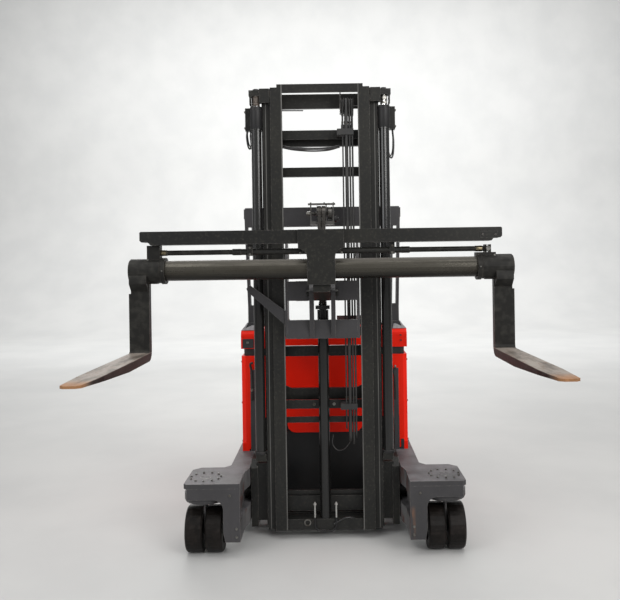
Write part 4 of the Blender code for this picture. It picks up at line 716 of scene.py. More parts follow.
def link_outline(a, b):
    """Half a circle round each pin, and between them a waist pulled in to 0.36 of the height."""
    a, b = np.array(a), np.array(b)
    run = (b - a) / np.linalg.norm(b - a)
    across = np.array((-run[1], run[0]))
    turn = np.radians(np.arange(-90, 91, 45))
    bow = (np.outer(np.cos(turn), run) + np.outer(np.sin(turn), across)) * PLATE_H / 2
    middle, waist = (a + b) / 2, across * PLATE_H * 0.36
    return np.vstack([a - bow, middle - waist, b + bow, middle + waist])


def straight(y, z0, z1):
    """Pin places up a straight strand, at about one pitch each."""
    steps = max(1, round(abs(z1 - z0) / PITCH))
    return [(y, z0 + (z1 - z0) * step / steps) for step in range(steps + 1)]

# %% A chain of plates and pins


def leaf_chain(name, way, columns, body, replaced):
    """Plates on every second place of each (start x, plates) column, and a pin at each point."""
    shape = Shape(name)
    for index, (a, b) in enumerate(zip(way, way[1:])):
        outline = link_outline(a, b)
        for start, plates in columns:
            for plate in range(index % 2, plates, 2):
                x = start + plate * (PLATE_T + GAP)
                width = 2 * PLATE_T - GAP if plate < plates - 1 else PLATE_T
                shape.prism(outline, "X", x, x + width)
    for point in way:
        for start, plates in columns:
            end = start + plates * (PLATE_T + GAP)
            shape.lathe(((start - 0.0012, 0.0022), (start - 0.0006, 0.0027), (end + 0.0006, 0.0027),
                         (end + 0.0012, 0.0022)), "X", point, 8)
    piece = shape.ride(body, "chain_steel")
    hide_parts(replaced)
    bpy.context.view_layer.update()
    world = piece.matrix_world.copy()
    piece.parent = None
    piece.matrix_world = world
    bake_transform(piece)

# %% [markdown]
# The free lift chain runs from the carriage over a pulley down to the inner stage. It is two parts that
# meet on top of the pulley: the front one runs up from the carriage and the rear one down to the inner
# stage.

# %% The free lift chain and the stage chains
FREE_Y, PULLEY_R, PULLEY_Z = 0.205, 0.045, 2.138
LUG_Z, ANCHOR_Z = 1.695, 0.896
TWIN = ((-0.0255, 8), (0.0022, 8))
STAGE_Y, STAGE_LOW, STAGE_HIGH, STAGE_X = 0.336, 2.720, 2.880, 0.275

front, low = FREE_Y - PULLEY_R, LUG_Z + 0.020
way = straight(front, low, PULLEY_Z) + arc(FREE_Y, PULLEY_Z, PULLEY_R, 180, 90, 5)[1:]
leaf_chain("leaf_chain_front", way, TWIN, "free_lift_head", "chain_to_carriage")
rear, low = FREE_Y + PULLEY_R, ANCHOR_Z + 0.015
way = arc(FREE_Y, PULLEY_Z, PULLEY_R, 90, 0, 5) + straight(rear, PULLEY_Z, low)[1:]
leaf_chain("leaf_chain_rear", way, TWIN, "inner_stage", "chain_to_mast")
way = straight(STAGE_Y, STAGE_LOW, STAGE_HIGH)
for name, side in SIDES:
    leaf_chain("leaf_chain_stage_" + name, way, ((side * STAGE_X - 0.0100, 7),), "reach_frame",
               "stage_chain_" + name)

# %% [markdown]
# The fork positioner is a thick beam with a round tube, on which both forks' hubs slide, and two
# cylinders above it. The CAD has these main parts. What the eye still misses is their fixings:
# cap screws, strap bolts, welded rims, unions, lock nuts, pins and grease nipples. A fixing is a
# short turned stud, so each piece below is a list of places with one kind of stud.

# %% Screws and bolts of the bracket
TUBE_Y, TUBE_Z, TUBE_X = -0.300, 1.776, 1.126
BEAM_FACE, FACE_PLATE = -0.360, -0.385
ROD_Z = 1.882
EYE_X = 0.985
HUB_R = 0.0785


def dress_bracket():
    """Cap screws in the face plate and the bolts that clamp the barrels' straps to the beam."""
    shape = Shape("face_plate_screws")
    for x, z in ((0.074, 1.722), (0.074, 1.770), (0.074, 1.818), (0.121, 1.925)):
        for _, side in SIDES:
            shape.socket((side * x, FACE_PLATE, z), FRONT, 0.008)
    shape.ride("spreader", "black_steel")
    shape = Shape("strap_bolts")
    for z in (1.866, 1.906):
        for _, side in SIDES:
            shape.bolt((side * 0.420, TUBE_Y - 0.026, z), FRONT, 0.012)
    shape.ride("spreader", "bolt_steel")


dress_bracket()

# %% [markdown]
# A pressed cap closes each end of the tube. Its rim and hollow come from one stepped profile turned
# round the tube's axis. A small pad with two screws stands on the beam.

# %% Tube ends and the pad


def dress_tube_ends():
    """A welded cap with a rim closes each end of the tube, and a pad is welded on the beam."""
    shape = Shape("tube_end_caps")
    for _, side in SIDES:
        steps = ((0.0002, 0.050), (0.005, 0.050), (0.007, 0.047), (0.007, 0.018), (0.004, 0.015),
                 (0.0039, 0.002))
        shape.stud((side * TUBE_X, TUBE_Y, TUBE_Z), (side, 0, 0), steps, 32)
    shape.ride("spreader", "greased_steel")
    pad = Shape("beam_pad")
    outline = rounded(0.934, 1.036, 1.941, 1.983, 0.004, 2)
    pad.prism(outline, "Y", BEAM_FACE - 0.004, BEAM_FACE + 0.001)
    for x in (0.948, 1.022):
        pad.socket((x, BEAM_FACE - 0.004, 1.962), FRONT, 0.011)
    pad.ride("spreader", "mast_paint", 0.0008)


dress_tube_ends()

# %% [markdown]
# Each side has a hose union at its barrel and, on the fork's hub, the rod's lock nut, the eye's pin,
# a nipple and two weld beads. A bead is a tube whose radius goes up and down, like a run weld.

# %% Unions, lock nuts, pins and welds


def dress_barrel(name, side):
    """The union and short hose end at the inner port of one positioner barrel."""
    shape = Shape("barrel_union_" + name)
    at = (side * 0.122, TUBE_Y - 0.0175, ROD_Z - 0.012)
    shape.stud(at, FRONT, ((0, 0.0085), (0.0085, 0.0085), (0.0105, 0.0075)), 6)
    shape.stud(at, FRONT, ((0.0095, 0.006), (0.0225, 0.006)), 12)
    shape.ride("spreader", "bolt_steel")


def dress_hub(name, side):
    """The rod's lock nut and pin at the fork's eye, a grease nipple and the hub's weld."""
    nut = Shape("rod_lock_nut_" + name)
    nut.stud((side * 0.911, TUBE_Y, ROD_Z), (side, 0, 0), ((0, 0.0158), (0.010, 0.0172), (0.040, 0.0178),
                                                          (0.043, 0.0165)), 20)
    nut.ride(name + "_fork", "yellow_fitting", 0.0008)
    pin = Shape("rod_eye_pin_" + name)
    if side > 0:
        steps = ((-0.052, 0.010), (0.004, 0.010), (0.004, 0.0145), (0.010, 0.0145), (0.012, 0.0125),
                 (0.012, 0.008), (0.009, 0.007))
        pin.stud((side * EYE_X, TUBE_Y - 0.026, ROD_Z), FRONT, steps, 20)
    for x in (0.928, 1.022):
        pin.bolt((side * x, TUBE_Y - 0.031, 1.842), FRONT, 0.011)
    pin.stud((side * 0.930, TUBE_Y - HUB_R, TUBE_Z), FRONT,
             ((-0.001, 0.005), (0.004, 0.005), (0.004, 0.003), (0.009, 0.0035), (0.011, 0.002)), 12)
    pin.ride(name + "_fork", "bolt_steel")
    bead = Shape("hub_weld_" + name)
    for x in (1.018, 1.126):
        way = laid("X", *np.transpose(arc(TUBE_Y, TUBE_Z, 0.0735, 238, 302, 16)), side * x)
        bead.tube(way, 0.0034 + 0.0009 * (np.arange(len(way)) % 2), 8)
    bead.ride(name + "_fork", "worn_fork_steel")
    head = Shape("shank_head_" + name)
    outline = ((-0.3250, 1.655), (-0.3745, 1.700), (-0.3745, 1.744), (-0.3690, 1.752), (-0.3450, 1.752),
               (-0.3250, 1.700))
    head.prism(outline, "X", *sorted((side * 1.0225, side * 1.1245)))
    head.ride(name + "_fork", "worn_fork_steel", 0.002)


for side_name, side_sign in SIDES:
    dress_barrel(side_name, side_sign)
    dress_hub(side_name, side_sign)

# %% [markdown]
# The mast has a pulley head on its free lift cylinder. The CAD's pulley is a plain roll. The chain
# polishes its rims, so these are separate rings in bright steel, with nuts on the axle and a swivel.

# %% Rims, nuts and swivel of the pulley head
HEAD_LEFT, HEAD_RIGHT = -0.075, 0.085
SHEAVE_Y, SHEAVE_Z, SHEAVE_R = 0.213, 2.843, 0.060
SHEAVE_FLANGES = (0.1405, 0.1568, 0.18575, 0.2025, 0.2195)
LIFT_X, LIFT_Y = 0.421, 0.185
LIFT_FOOT, GLAND_Z, ROD_TOP = 0.562, 2.840, 2.912


def dress_pulley_head():
    """Axle nuts, the pulley's rims and the screws of the free lift head's top plate."""
    shape = Shape("free_lift_pulley_rims")
    for x in (-0.0305, 0.0275):
        shape.ring(((x, 0.014), (x, 0.0535), (x + 0.0005, 0.0545), (x + 0.0025, 0.0545),
                    (x + 0.003, 0.0535), (x + 0.003, 0.014)), "X", (FREE_Y, PULLEY_Z), 36)
    for x in (0.0430, 0.0670):
        shape.ring(((x, 0.014), (x, 0.0470), (x + 0.0015, 0.0480), (x + 0.002, 0.0470),
                    (x + 0.002, 0.014)), "X", (FREE_Y, PULLEY_Z), 36)
    shape.ride("free_lift_head", "bare_steel")
    nuts = Shape("free_lift_axle_nuts")
    nuts.stud((HEAD_LEFT, FREE_Y, PULLEY_Z), (-1, 0, 0),
              ((-0.002, 0.019), (0.003, 0.019), (0.0031, 0.016), (0.017, 0.016), (0.019, 0.014)), 6)
    nuts.stud((HEAD_LEFT - 0.018, FREE_Y, PULLEY_Z), (-1, 0, 0),
              ((0, 0.009), (0.007, 0.009), (0.008, 0.008)), 14)
    for x in (-0.070, 0.020, 0.080):
        for y in (FREE_Y - 0.022, FREE_Y + 0.022):
            nuts.socket((x, y, PULLEY_Z + 0.067), UP, 0.010)
    nuts.ride("free_lift_head", "bolt_steel")
    swivel = Shape("free_lift_swivel")
    swivel.stud((HEAD_RIGHT, FREE_Y, PULLEY_Z - 0.036), (1, 0, 0),
                ((-0.004, 0.022), (0.016, 0.022), (0.018, 0.020), (0.019, 0.013), (0.030, 0.013),
                 (0.031, 0.011)), 24)
    swivel.ride("free_lift_head", "black_steel")


dress_pulley_head()

# %% [markdown]
# Hoses and cables run over a set of sheaves. The flanges' outer edges are rubbed bright, which a thin
# ring over each edge shows better than a mask, as it also gives the edge its round.

# %% Sheave rims and hose fittings


def dress_hose_sheaves():
    """Bright rims on the sheaves' flanges, where the hoses rub."""
    shape = Shape("hose_sheave_rims")
    for x in SHEAVE_FLANGES:
        shape.ring(((x - 0.0014, 0.050), (x - 0.0014, SHEAVE_R - 0.0005), (x, SHEAVE_R + 0.0012),
                    (x + 0.0014, SHEAVE_R - 0.0005), (x + 0.0014, 0.050)), "X", (SHEAVE_Y, SHEAVE_Z), 40)
    shape.ride("inner_stage", "bare_steel")
    shape = Shape("hose_fittings")
    for x, radius in ((0.148, 0.005), (0.172, 0.0115), (0.194, 0.006), (0.211, 0.006)):
        wide = max(radius * 1.35, 0.0072)
        for y, z in ((0.261, 2.742), (0.235, 0.905)):
            shape.stud((x, y, z), UP, ((0, wide), (0.014, wide), (0.016, wide * 0.86)), 6)
    shape.ride("inner_stage", "yellow_fitting")


dress_hose_sheaves()

# %% [markdown]
# Behind the carriage hang cross hoses, a conduit and small cables. Each is a round tube carried along
# a smooth way through a few points, sagging as rubber does between its clips. The bow that holds
# the cylinder's foot is bent from one round bar, with bright threaded ends.

# %% Hoses, fixings and the foot clamp of the inner stage


def dress_inner_stage():
    """Cross hoses, a conduit, chain anchor nuts and fixings on the inner stage."""
    hoses = Shape("cross_hoses")
    for y, z, sag, radius in ((0.205, 2.585, 0.016, 0.0065), (0.222, 2.578, 0.022, 0.0050),
                              (0.190, 2.572, 0.010, 0.0042)):
        points = [(-0.254, y, z + 0.004), (-0.180, y, z - sag * 0.55), (-0.060, y, z - sag),
                  (0.050, y, z - sag * 0.8), (0.128, y, z + 0.002)]
        hoses.tube(route(points, 8), radius, 12)
    hoses.tube([(-0.264, 0.222, 2.827), (-0.111, 0.222, 2.825)], 0.004, 10)
    points = [(0.178, 0.186, 0.712), (0.172, 0.186, 0.640), (0.130, 0.186, 0.584), (0.082, 0.186, 0.578),
              (0.052, 0.188, 0.618), (0.058, 0.200, 0.675)]
    hoses.tube(route(points, 8), 0.0032, 8)
    points = [(0.054, 0.158, 0.098), (0.086, 0.156, 0.118), (0.130, 0.158, 0.138), (0.173, 0.170, 0.136),
              (0.214, 0.190, 0.120)]
    hoses.tube(route(points, 8), 0.0065, 12)
    hoses.ride("inner_stage", "hose_rubber")
    nuts = Shape("inner_stage_fixings")
    for x in (-0.067, 0.066):
        nuts.bolt((x, 0.2578, 0.867), FRONT, 0.017)
    nuts.ring(((0.1570, 0.0160), (0.1570, 0.0225), (0.1655, 0.0240), (0.1655, 0.0150)), "Y",
              (-0.1190, 0.1090), 28)
    for x in (-0.262, 0.262):
        for z in (0.078, 0.112):
            nuts.bolt((x, 0.166, z), FRONT, 0.014)
    for x in (-0.016, 0.016):
        nuts.stud((x, 0.2595, 0.8365), DOWN, ((-0.002, 0.006), (0.052, 0.006), (0.054, 0.005)), 12)
        for z in (0.8365, 0.823):
            nuts.stud((x, 0.2595, z), DOWN, ((0.0, 0.0105), (0.011, 0.0105), (0.012, 0.009)), 6)
    nuts.ride("inner_stage", "bolt_steel")
    clamp = Shape("free_lift_foot_clamp")
    for x in (-0.070, 0.070):
        clamp.tube([(x, 0.156, 0.142), (x, 0.156, 0.244)], 0.0060, 12)
        clamp.stud((x, 0.156, 0.226), UP, ((0, 0.0110), (0.010, 0.0110), (0.011, 0.0095)), 6)
    clamp.ride("inner_stage", "bright_rod")
    bow = Shape("free_lift_foot_bow")
    left = [(x, 0.156, z) for x, z in arc(-0.022, 0.100, 0.048, 180, 270, 6)]
    right = [(x, 0.156, z) for x, z in arc(0.022, 0.100, 0.048, 270, 360, 6)]
    bow.tube([(-0.070, 0.156, 0.146)] + left + right + [(0.070, 0.156, 0.146)], 0.0060, 12)
    bow.ride("inner_stage", "black_steel")


dress_inner_stage()

# %% [markdown]
# The outer stage carries the thin hose loops under its top brackets and the lift cylinders' feet.
# A cylinder's gland is a sleeve with grooves, turned from one profile round the rod.

# %% Hose loops, cylinder sleeves and bolts of the outer stage
SLEEVE = ((-0.143, 0.0335), (-0.143, 0.0380), (-0.140, 0.0395), (-0.020, 0.0395), (-0.019, 0.0385),
          (-0.016, 0.0385), (-0.015, 0.0395), (-0.010, 0.0395), (-0.009, 0.0385), (-0.006, 0.0385),
          (-0.005, 0.0395), (0.001, 0.0395), (0.0035, 0.0375), (0.0035, 0.0215), (0.0005, 0.0215))


def dress_outer_stage():
    """Hose loops under the top brackets, cylinder feet, glands and beam bolts on the outer stage."""
    hoses = Shape("top_bracket_hoses")
    left = [(-0.488, 0.256, 2.702), (-0.492, 0.250, 2.660), (-0.484, 0.246, 2.600),
            (-0.472, 0.248, 2.580), (-0.463, 0.254, 2.605), (-0.468, 0.262, 2.665),
            (-0.464, 0.266, 2.702)]
    right = [(0.452, 0.256, 2.702), (0.446, 0.250, 2.650), (0.452, 0.244, 2.560), (0.468, 0.244, 2.508),
             (0.484, 0.250, 2.530), (0.490, 0.258, 2.610), (0.484, 0.264, 2.702)]
    for way in (left, right):
        hoses.tube(route(way, 8), 0.0055, 10)
        shifted = [(x - 0.004 if x > 0 else x + 0.004, y + 0.012, z + 0.018) for x, y, z in way]
        hoses.tube(route(shifted, 8), 0.0042, 10)
    hoses.ride("reach_frame", "hose_rubber")
    feet = Shape("lift_cylinder_feet")
    for _, side in SIDES:
        centre = (side * LIFT_X, LIFT_Y)
        feet.ring(((LIFT_FOOT - 0.001, 0.030), (LIFT_FOOT - 0.001, 0.043), (LIFT_FOOT + 0.013, 0.043),
                   (LIFT_FOOT + 0.016, 0.040), (LIFT_FOOT + 0.016, 0.030)), "Z", centre, 28)
        feet.ring([(GLAND_Z + z, radius) for z, radius in SLEEVE], "Z", centre, 32)
    feet.ride("reach_frame", "black_steel")
    bolts = Shape("outer_stage_bolts")
    for _, side in SIDES:
        for y in (0.252, 0.278):
            bolts.socket((side * 0.500, y, 2.720), (side, 0, 0), 0.012)
            bolts.socket((side * 0.500, y, 2.828), (side, 0, 0), 0.012)
    bolts.ride("reach_frame", "bolt_steel")


dress_outer_stage()

# %% [markdown]
# The middle stage hangs on two side rods: screws on top, plates beside them, a rusty thread under
# the left one and two nuts under the right one. The thread is six rings in one turned profile.

# %% Screws, plates, thread and nuts of the lift rods


def dress_lift_rods():
    """Screw heads, side plates and the rods' fixings that hold the middle stage on the side rods."""
    heads = Shape("middle_stage_screws")
    plates = Shape("lift_rod_side_plates")
    for _, side in SIDES:
        for x in (0.362, LIFT_X):
            heads.stud((side * x, LIFT_Y, ROD_TOP + 0.038), UP, ((-0.001, 0.0205), (0.010, 0.0205),
                                                                     (0.012, 0.0180)), 6)
        outline = rounded(0.152, 0.222, 2.854, 2.948, 0.010, 3)
        plates.prism(outline, "X", *sorted((side * 0.4490, side * 0.4610)))
    heads.ride("middle_stage", "black_steel", 0.0008)
    plates.ride("middle_stage", "mast_paint", 0.001)
    thread = Shape("lift_rod_thread_left")
    steps = []
    for turn in range(6):
        z = 2.849 + turn * 0.0105
        steps += [(z, 0.0235), (z + 0.002, 0.0265), (z + 0.007, 0.0265), (z + 0.009, 0.0235)]
    profile = [(2.849, 0.0195), *steps, (2.911, 0.0235), (2.911, 0.0195)]
    thread.ring(profile, "Z", (-LIFT_X, LIFT_Y), 28)
    thread.ride("middle_stage", "rusted_steel")
    nut = Shape("lift_rod_nut_right")
    nut.stud((LIFT_X, LIFT_Y, 2.852), UP, ((0, 0.0225), (0.003, 0.0240), (0.016, 0.0240),
                                           (0.019, 0.0225)), 6)
    nut.stud((LIFT_X, LIFT_Y, 2.876), UP, ((0, 0.0225), (0.003, 0.0240), (0.030, 0.0240),
                                           (0.034, 0.0225)), 6)
    nut.ride("middle_stage", "bolt_steel")


dress_lift_rods()

# %% [markdown]
# The lift carriage has the chain's anchor, the tilt pins' keeps, roller caps and run welds.

# %% Fixings of the carriage


def dress_carriage():
    """Chain anchor, pin keeps, roller caps and the fixings on the lift carriage."""
    shape = Shape("carriage_chain_anchor")
    for x in (-0.0155, 0.0155):
        shape.stud((x, 0.150, 1.6605), DOWN, ((0, 0.0068), (0.145, 0.0068), (0.147, 0.0055)), 14)
        for z in (1.6605, 1.646, 1.548):
            shape.stud((x, 0.150, z), DOWN, ((0, 0.0115), (0.011, 0.0115), (0.012, 0.0100)), 6)
    shape.ride("carriage", "chain_steel")
    bar = Shape("carriage_anchor_bar")
    bar.box(-0.046, 0.046, 0.092, 0.166, 1.512, 1.534)
    bar.ride("carriage", "black_steel", 0.002)
    pins = Shape("tilt_pin_keeps")
    for _, side in SIDES:
        outline = rounded(-0.014, 0.050, 1.604, 1.636, 0.008, 3)
        pins.prism(outline, "X", *sorted((side * 0.0975, side * 0.1020)))
        pins.bolt((side * 0.1020, 0.040, 1.620), (side, 0, 0), 0.011)
    pins.ride("spreader", "black_steel", 0.0008)
    bolts = Shape("carriage_bolts")
    for _, side in SIDES:
        for z in (1.420, 1.860):
            bolts.stud((side * 0.2255, 0.210, z), (-side, 0, 0),
                       ((-0.001, 0.024), (0.004, 0.024), (0.006, 0.021), (0.006, 0.008), (0.003, 0.006)),
                       24)
    bolts.ride("carriage", "bolt_steel")
    beads = Shape("carriage_welds")
    for _, side in SIDES:
        for z in (1.3265, 1.4445, 1.5705, 1.6945):
            points = [(side * (0.090 + 0.0042 * step), 0.0612, z) for step in range(20)]
            beads.tube(points, [0.0022 + 0.0006 * (step % 2) for step in range(20)], 6)
    beads.ride("carriage", "mast_paint")


dress_carriage()

# %% [markdown]
# The load arms end in turntables that steer the load wheels. A circle of socket screws holds each
# one; a loop sets them at equal angles, because the same few numbers then place them all.

# %% Screws and wear strips of the arms
LOAD_X, LOAD_R, ARM_TOP = 0.755, 0.1425, 0.462
BODY_REAR = 1.880
PANEL_FACE, HOOD_FACE = 0.6534, 0.654
DRIVE_Y, DRIVE_R, DRIVE_HALF = 1.600, 0.1715, 0.070


def dress_arm(name, side):
    """The ring of screws over the turntable, rail screws and small fixings of one arm."""
    shape = Shape("turntable_screws_" + name)
    shape.ring(((ARM_TOP - 0.001, 0.030), (ARM_TOP - 0.001, 0.034), (ARM_TOP + 0.0012, 0.033),
                (ARM_TOP + 0.0012, 0.031)), "Z", (side * LOAD_X, 0), 32)
    for a, b in circle_of(11, 0.095, 0.25):
        shape.socket((side * LOAD_X + a, b, ARM_TOP), UP, 0.013)
    for z in (0.135, 0.185):
        shape.bolt((side * 0.545, -0.153, z), FRONT, 0.013)
    shape.bolt((side * 0.585, -0.153, 0.390), FRONT, 0.012)
    for y in (0.32, 0.52, 0.72, 0.92):
        shape.socket((side * 0.630, y, 0.300), (side, 0, 0), 0.018)
    shape.ride("truck", "bolt_steel")
    strip = Shape("arm_wear_strip_" + name)
    strip.prism(rounded(0.300, 1.040, 0.118, 0.150, 0.005, 2), "X",
                *sorted((side * 0.6295, side * 0.6335)))
    strip.ride("truck", "black_rubber", 0.001)


for side_name, side_sign in SIDES:
    dress_arm(side_name, side_sign)

# %% [markdown]
# Every wheel has a dished hub cover and a circle of bolts, which turn with it.

# %% Hubs of the load wheels


def dress_load_wheels(name, side):
    """Hub covers and their bolts on the twin load wheels."""
    dish = 0.856
    shape = Shape("load_hub_" + name)
    shape.ring(((side * dish, 0.044), (side * (dish + 0.004), 0.046), (side * (dish + 0.004), 0.080),
                (side * (dish + 0.002), 0.083), (side * dish, 0.083)), "X", (0, LOAD_R), 40)
    shape.stud((side * 0.866, 0, LOAD_R), (side, 0, 0), ((-0.001, 0.030), (0.003, 0.028), (0.004, 0.022),
                                                        (0.002, 0.019), (0.002, 0.002)), 32)
    shape.ride(name + "_wheels", "anthracite_paint")
    bolts = Shape("load_hub_bolts_" + name)
    for a, b in circle_of(6, 0.063):
        bolts.bolt((side * (dish + 0.004), a, LOAD_R + b), (side, 0, 0), 0.012)
    bolts.ride(name + "_wheels", "bolt_steel")


for side_name, side_sign in SIDES:
    dress_load_wheels(side_name, side_sign)

# %% Nuts of the drive wheel and screws of its gear case


def dress_drive_wheel():
    """The drive wheel's nuts and its hub cap, and the screws of the gear case's cover."""
    nuts = Shape("drive_wheel_nuts")
    for a, b in circle_of(7, 0.083):
        nuts.bolt((-0.058, DRIVE_Y + a, DRIVE_R + b), (-1, 0, 0), 0.019)
    nuts.stud((-DRIVE_HALF, DRIVE_Y, DRIVE_R), (-1, 0, 0),
              ((-0.001, 0.040), (0.004, 0.038), (0.006, 0.030), (0.006, 0.002)), 32)
    nuts.ride("drive_roller", "bolt_steel")
    cover = Shape("gear_case_screws")
    for y, z in arc(DRIVE_Y, DRIVE_R, 0.073, 180, 360, 8):
        cover.bolt((0.131, y, z), (1, 0, 0), 0.013)
    cover.ride("drive_unit", "bolt_steel")


dress_drive_wheel()

# %% [markdown]
# The bodywork gets what is pressed or screwed on it: corner blocks, feet, lamps with frames, air
# slats, latches, hinges, two bent locking handles and the guard's cast foot covers. They are flat
# outlines drawn out along one axis, with a bevel for the pressed edge.

# %% Blocks, lamps, slats, handles and hinges


def dress_bodywork():
    """Hood corners, hinges, latches, the lever by the left upright and the fixings of the battery wall."""
    dark = Shape("hood_corner_block_and_slot_shade")
    dark.prism(rounded(-0.588, -0.508, 1.2045, 1.271, 0.004, 2), "Y", HOOD_FACE - 0.004,
               HOOD_FACE + 0.004)
    # This flat black box on the right panel's lower face is a dark sheet that stands in for the shade in a
    # slot there.
    dark.box(0.548, 0.570, PANEL_FACE - 0.003, PANEL_FACE + 0.002, 0.415, 0.534)
    dark.ride("truck", "black_plastic", 0.001)
    feet = Shape("panel_feet")
    for _, side in SIDES:
        outline = rounded(*sorted((side * 0.549, side * 0.598)), 0.398, 0.520, 0.008, 3)
        feet.prism(outline, "Y", PANEL_FACE - 0.001, PANEL_FACE + 0.060)
    feet.ride("truck", "red_paint", 0.0015)
    lamps = Shape("tail_lamps")
    frames = Shape("tail_lamp_frames")
    for _, side in SIDES:
        low, high = sorted((side * 0.430, side * 0.520))
        frames.prism(rounded(low, high, 0.700, 0.800, 0.014, 4), "Y", BODY_REAR - 0.002,
                     BODY_REAR + 0.008)
        lamps.prism(rounded(low + 0.008, high - 0.008, 0.708, 0.792, 0.009, 4), "Y", BODY_REAR + 0.004,
                    BODY_REAR + 0.014)
    frames.ride("truck", "black_plastic", 0.0015)
    lamps.ride("truck", "ruby_lens", 0.002)
    slats = Shape("motor_louvres")
    for step in range(9):
        z = 0.560 + 0.020 * step
        slats.prism([(BODY_REAR - 0.002, z), (BODY_REAR + 0.008, z + 0.002),
                     (BODY_REAR + 0.009, z + 0.0055), (BODY_REAR - 0.002, z + 0.012)], "X", -0.190, 0.190)
    slats.ride("truck", "black_steel")
    pale = Shape("hood_corner_latch")
    pale.prism(rounded(-0.560, -0.542, 1.238, 1.252, 0.003, 2), "Y", HOOD_FACE - 0.009, HOOD_FACE - 0.003)
    pale.ride("truck", "bolt_steel", 0.001)
    feet = Shape("guard_foot_covers")
    for _, side in SIDES:
        outline = [(side * x, z) for x, z in ((0.601, 1.3306), (0.575, 1.360), (0.556, 1.3862),
                                              (0.549, 1.3862), (0.563, 1.356), (0.566, 1.3306))]
        feet.prism(outline, "Y", 0.6815, 0.785)
        outline = [(side * x, z) for x, z in ((0.579, 1.3306), (0.575, 1.343), (0.524, 1.366),
                                              (0.508, 1.366), (0.500, 1.3306))]
        feet.prism(outline, "Y", 0.6775, 0.688)
    feet.ride("truck", "pale_casting", 0.0015)
    lever = Shape("battery_lock_lever")
    way = [(-0.523, 0.636, 0.880), (-0.522, 0.634, 0.960), (-0.526, 0.632, 1.050), (-0.532, 0.628, 1.082),
           (-0.526, 0.622, 1.098), (-0.512, 0.618, 1.100)]
    lever.tube(route(way, 6), 0.0085, 12)
    lever.stud((-0.523, 0.636, 0.884), DOWN, ((0, 0.012), (0.050, 0.012), (0.054, 0.009)), 16)
    way = [(0.512, 0.636, 0.825), (0.513, 0.634, 0.900), (0.508, 0.632, 0.980), (0.500, 0.628, 1.028),
           (0.506, 0.622, 1.048), (0.517, 0.618, 1.050)]
    lever.tube(route(way, 6), 0.0085, 12)
    for z in (1.248, 1.284):
        lever.socket((0.556, HOOD_FACE - 0.001, z), FRONT, 0.012)
    lever.ride("truck", "black_rubber")
    tip = Shape("battery_lock_pin")
    tip.stud((-0.522, 0.634, 0.915), DOWN, ((0, 0.0105), (0.018, 0.0105), (0.020, 0.009)), 16)
    tip.stud((0.510, 0.622, 1.055), UP, ((0, 0.0075), (0.014, 0.0075), (0.016, 0.006)), 14)
    tip.ride("truck", "bolt_steel")
    hinge = Shape("hood_hinges")
    for x in (-0.42, 0.42):
        hinge.box(x - 0.045, x + 0.045, 1.030, 1.084, 1.3302, 1.3352)
        hinge.stud((x - 0.047, 1.0585, 1.3375), (1, 0, 0), ((0, 0.0075), (0.094, 0.0075)), 14)
    for _, side in SIDES:
        hinge.prism(rounded(0.815, 0.905, 1.222, 1.262, 0.006, 2), "X",
                    *sorted((side * 0.5995, side * 0.6045)))
    hinge.ride("truck", "black_steel", 0.0012)
    screws = Shape("bodywork_screws")
    for x in (-0.42, 0.42):
        for dx in (-0.032, 0.032):
            screws.socket((x + dx, 1.040, 1.3352), UP, 0.011)
            screws.socket((x + dx, 1.074, 1.3352), UP, 0.011)
    for _, side in SIDES:
        for y in (0.826, 0.894):
            screws.socket((side * 0.6045, y, 1.242), (side, 0, 0), 0.010)
        for z in (0.52, 0.80, 1.10):
            for y in (0.720, 1.030):
                screws.socket((side * 0.600, y, z), (side, 0, 0), 0.013)
    screws.ride("truck", "bolt_steel")


dress_bodywork()

# %% [markdown]
# The seat. A real cushion is a foam block whose cover is pulled in at sewn channels. Each pad here
# starts as a smaller foam form; cloth with pressure inside then swells it between its held seams.
# A form with round corners alone would look like a box, and sculpting can't be written down.

# %% Sizes and forms of the pads
SEAT_LEFT, SEAT_RIGHT, SEAT_FRONT, SEAT_REAR = -0.4457, 0.020, 1.300, 1.755
SEAT_LOW, BACK_TOP, HEAD_TOP = 0.8403, 1.360, 1.560
CHANNELS = (SEAT_FRONT + 0.105, SEAT_REAR - 0.105)
CUSHION_ROWS = ((0.8406, 0.020), (0.850, 0.011), (0.880, 0.010), (0.902, 0.012), (0.916, 0.024),
                (0.923, 0.050))
BACK_ROWS = ((-1.0, 0.020), (-0.88, 0.010), (-0.45, 0.008), (-0.28, 0.013), (-0.22, 0.026))


def cushion_outline(inset):
    """Seen from above: the seat's rectangle pulled in by the inset, with round corners."""
    return np.transpose(rounded(SEAT_LEFT + inset, SEAT_RIGHT - inset, SEAT_FRONT + inset,
                                SEAT_REAR - inset, 0.055, 6))


def cushion_form():
    """The outline at six heights, pulled in most at the top and under the lower edge."""
    shape = Shape("seat_cushion_pad")
    return shape.loft([laid("Z", *cushion_outline(inset), z) for z, inset in CUSHION_ROWS])


def back_face(z):
    """The x of the backrest's front: upright, then leaning back evenly, with a step to the headrest."""
    return np.interp(z, (0.995, 1.340, 1.360), (-0.446, -0.475, -0.504))


def backrest_form():
    """A wide pad and a headrest, each an outline in y and z at five depths behind the front face."""
    shape = Shape("seat_backrest_pad")
    for y0, y1, z0, z1, radius, thick in (
            (SEAT_FRONT, SEAT_REAR, SEAT_LOW, BACK_TOP, 0.085, 0.060),
            (SEAT_FRONT + 0.118, SEAT_REAR - 0.118, BACK_TOP - 0.060, HEAD_TOP, 0.048, 0.046)):
        rings = []
        for part, inset in BACK_ROWS:
            y, z = np.transpose(rounded(y0 + inset, y1 - inset, z0 + inset * 0.5, z1 - inset, radius, 6))
            rings.append(laid("X", y, z, back_face(z) + part * thick))
        shape.loft(rings)
    return shape

# %% [markdown]
# The simulation has three parts: which points the seams hold, the swelling itself, and the sewn
# channels, which are pressed in afterwards by up to 8 mm.

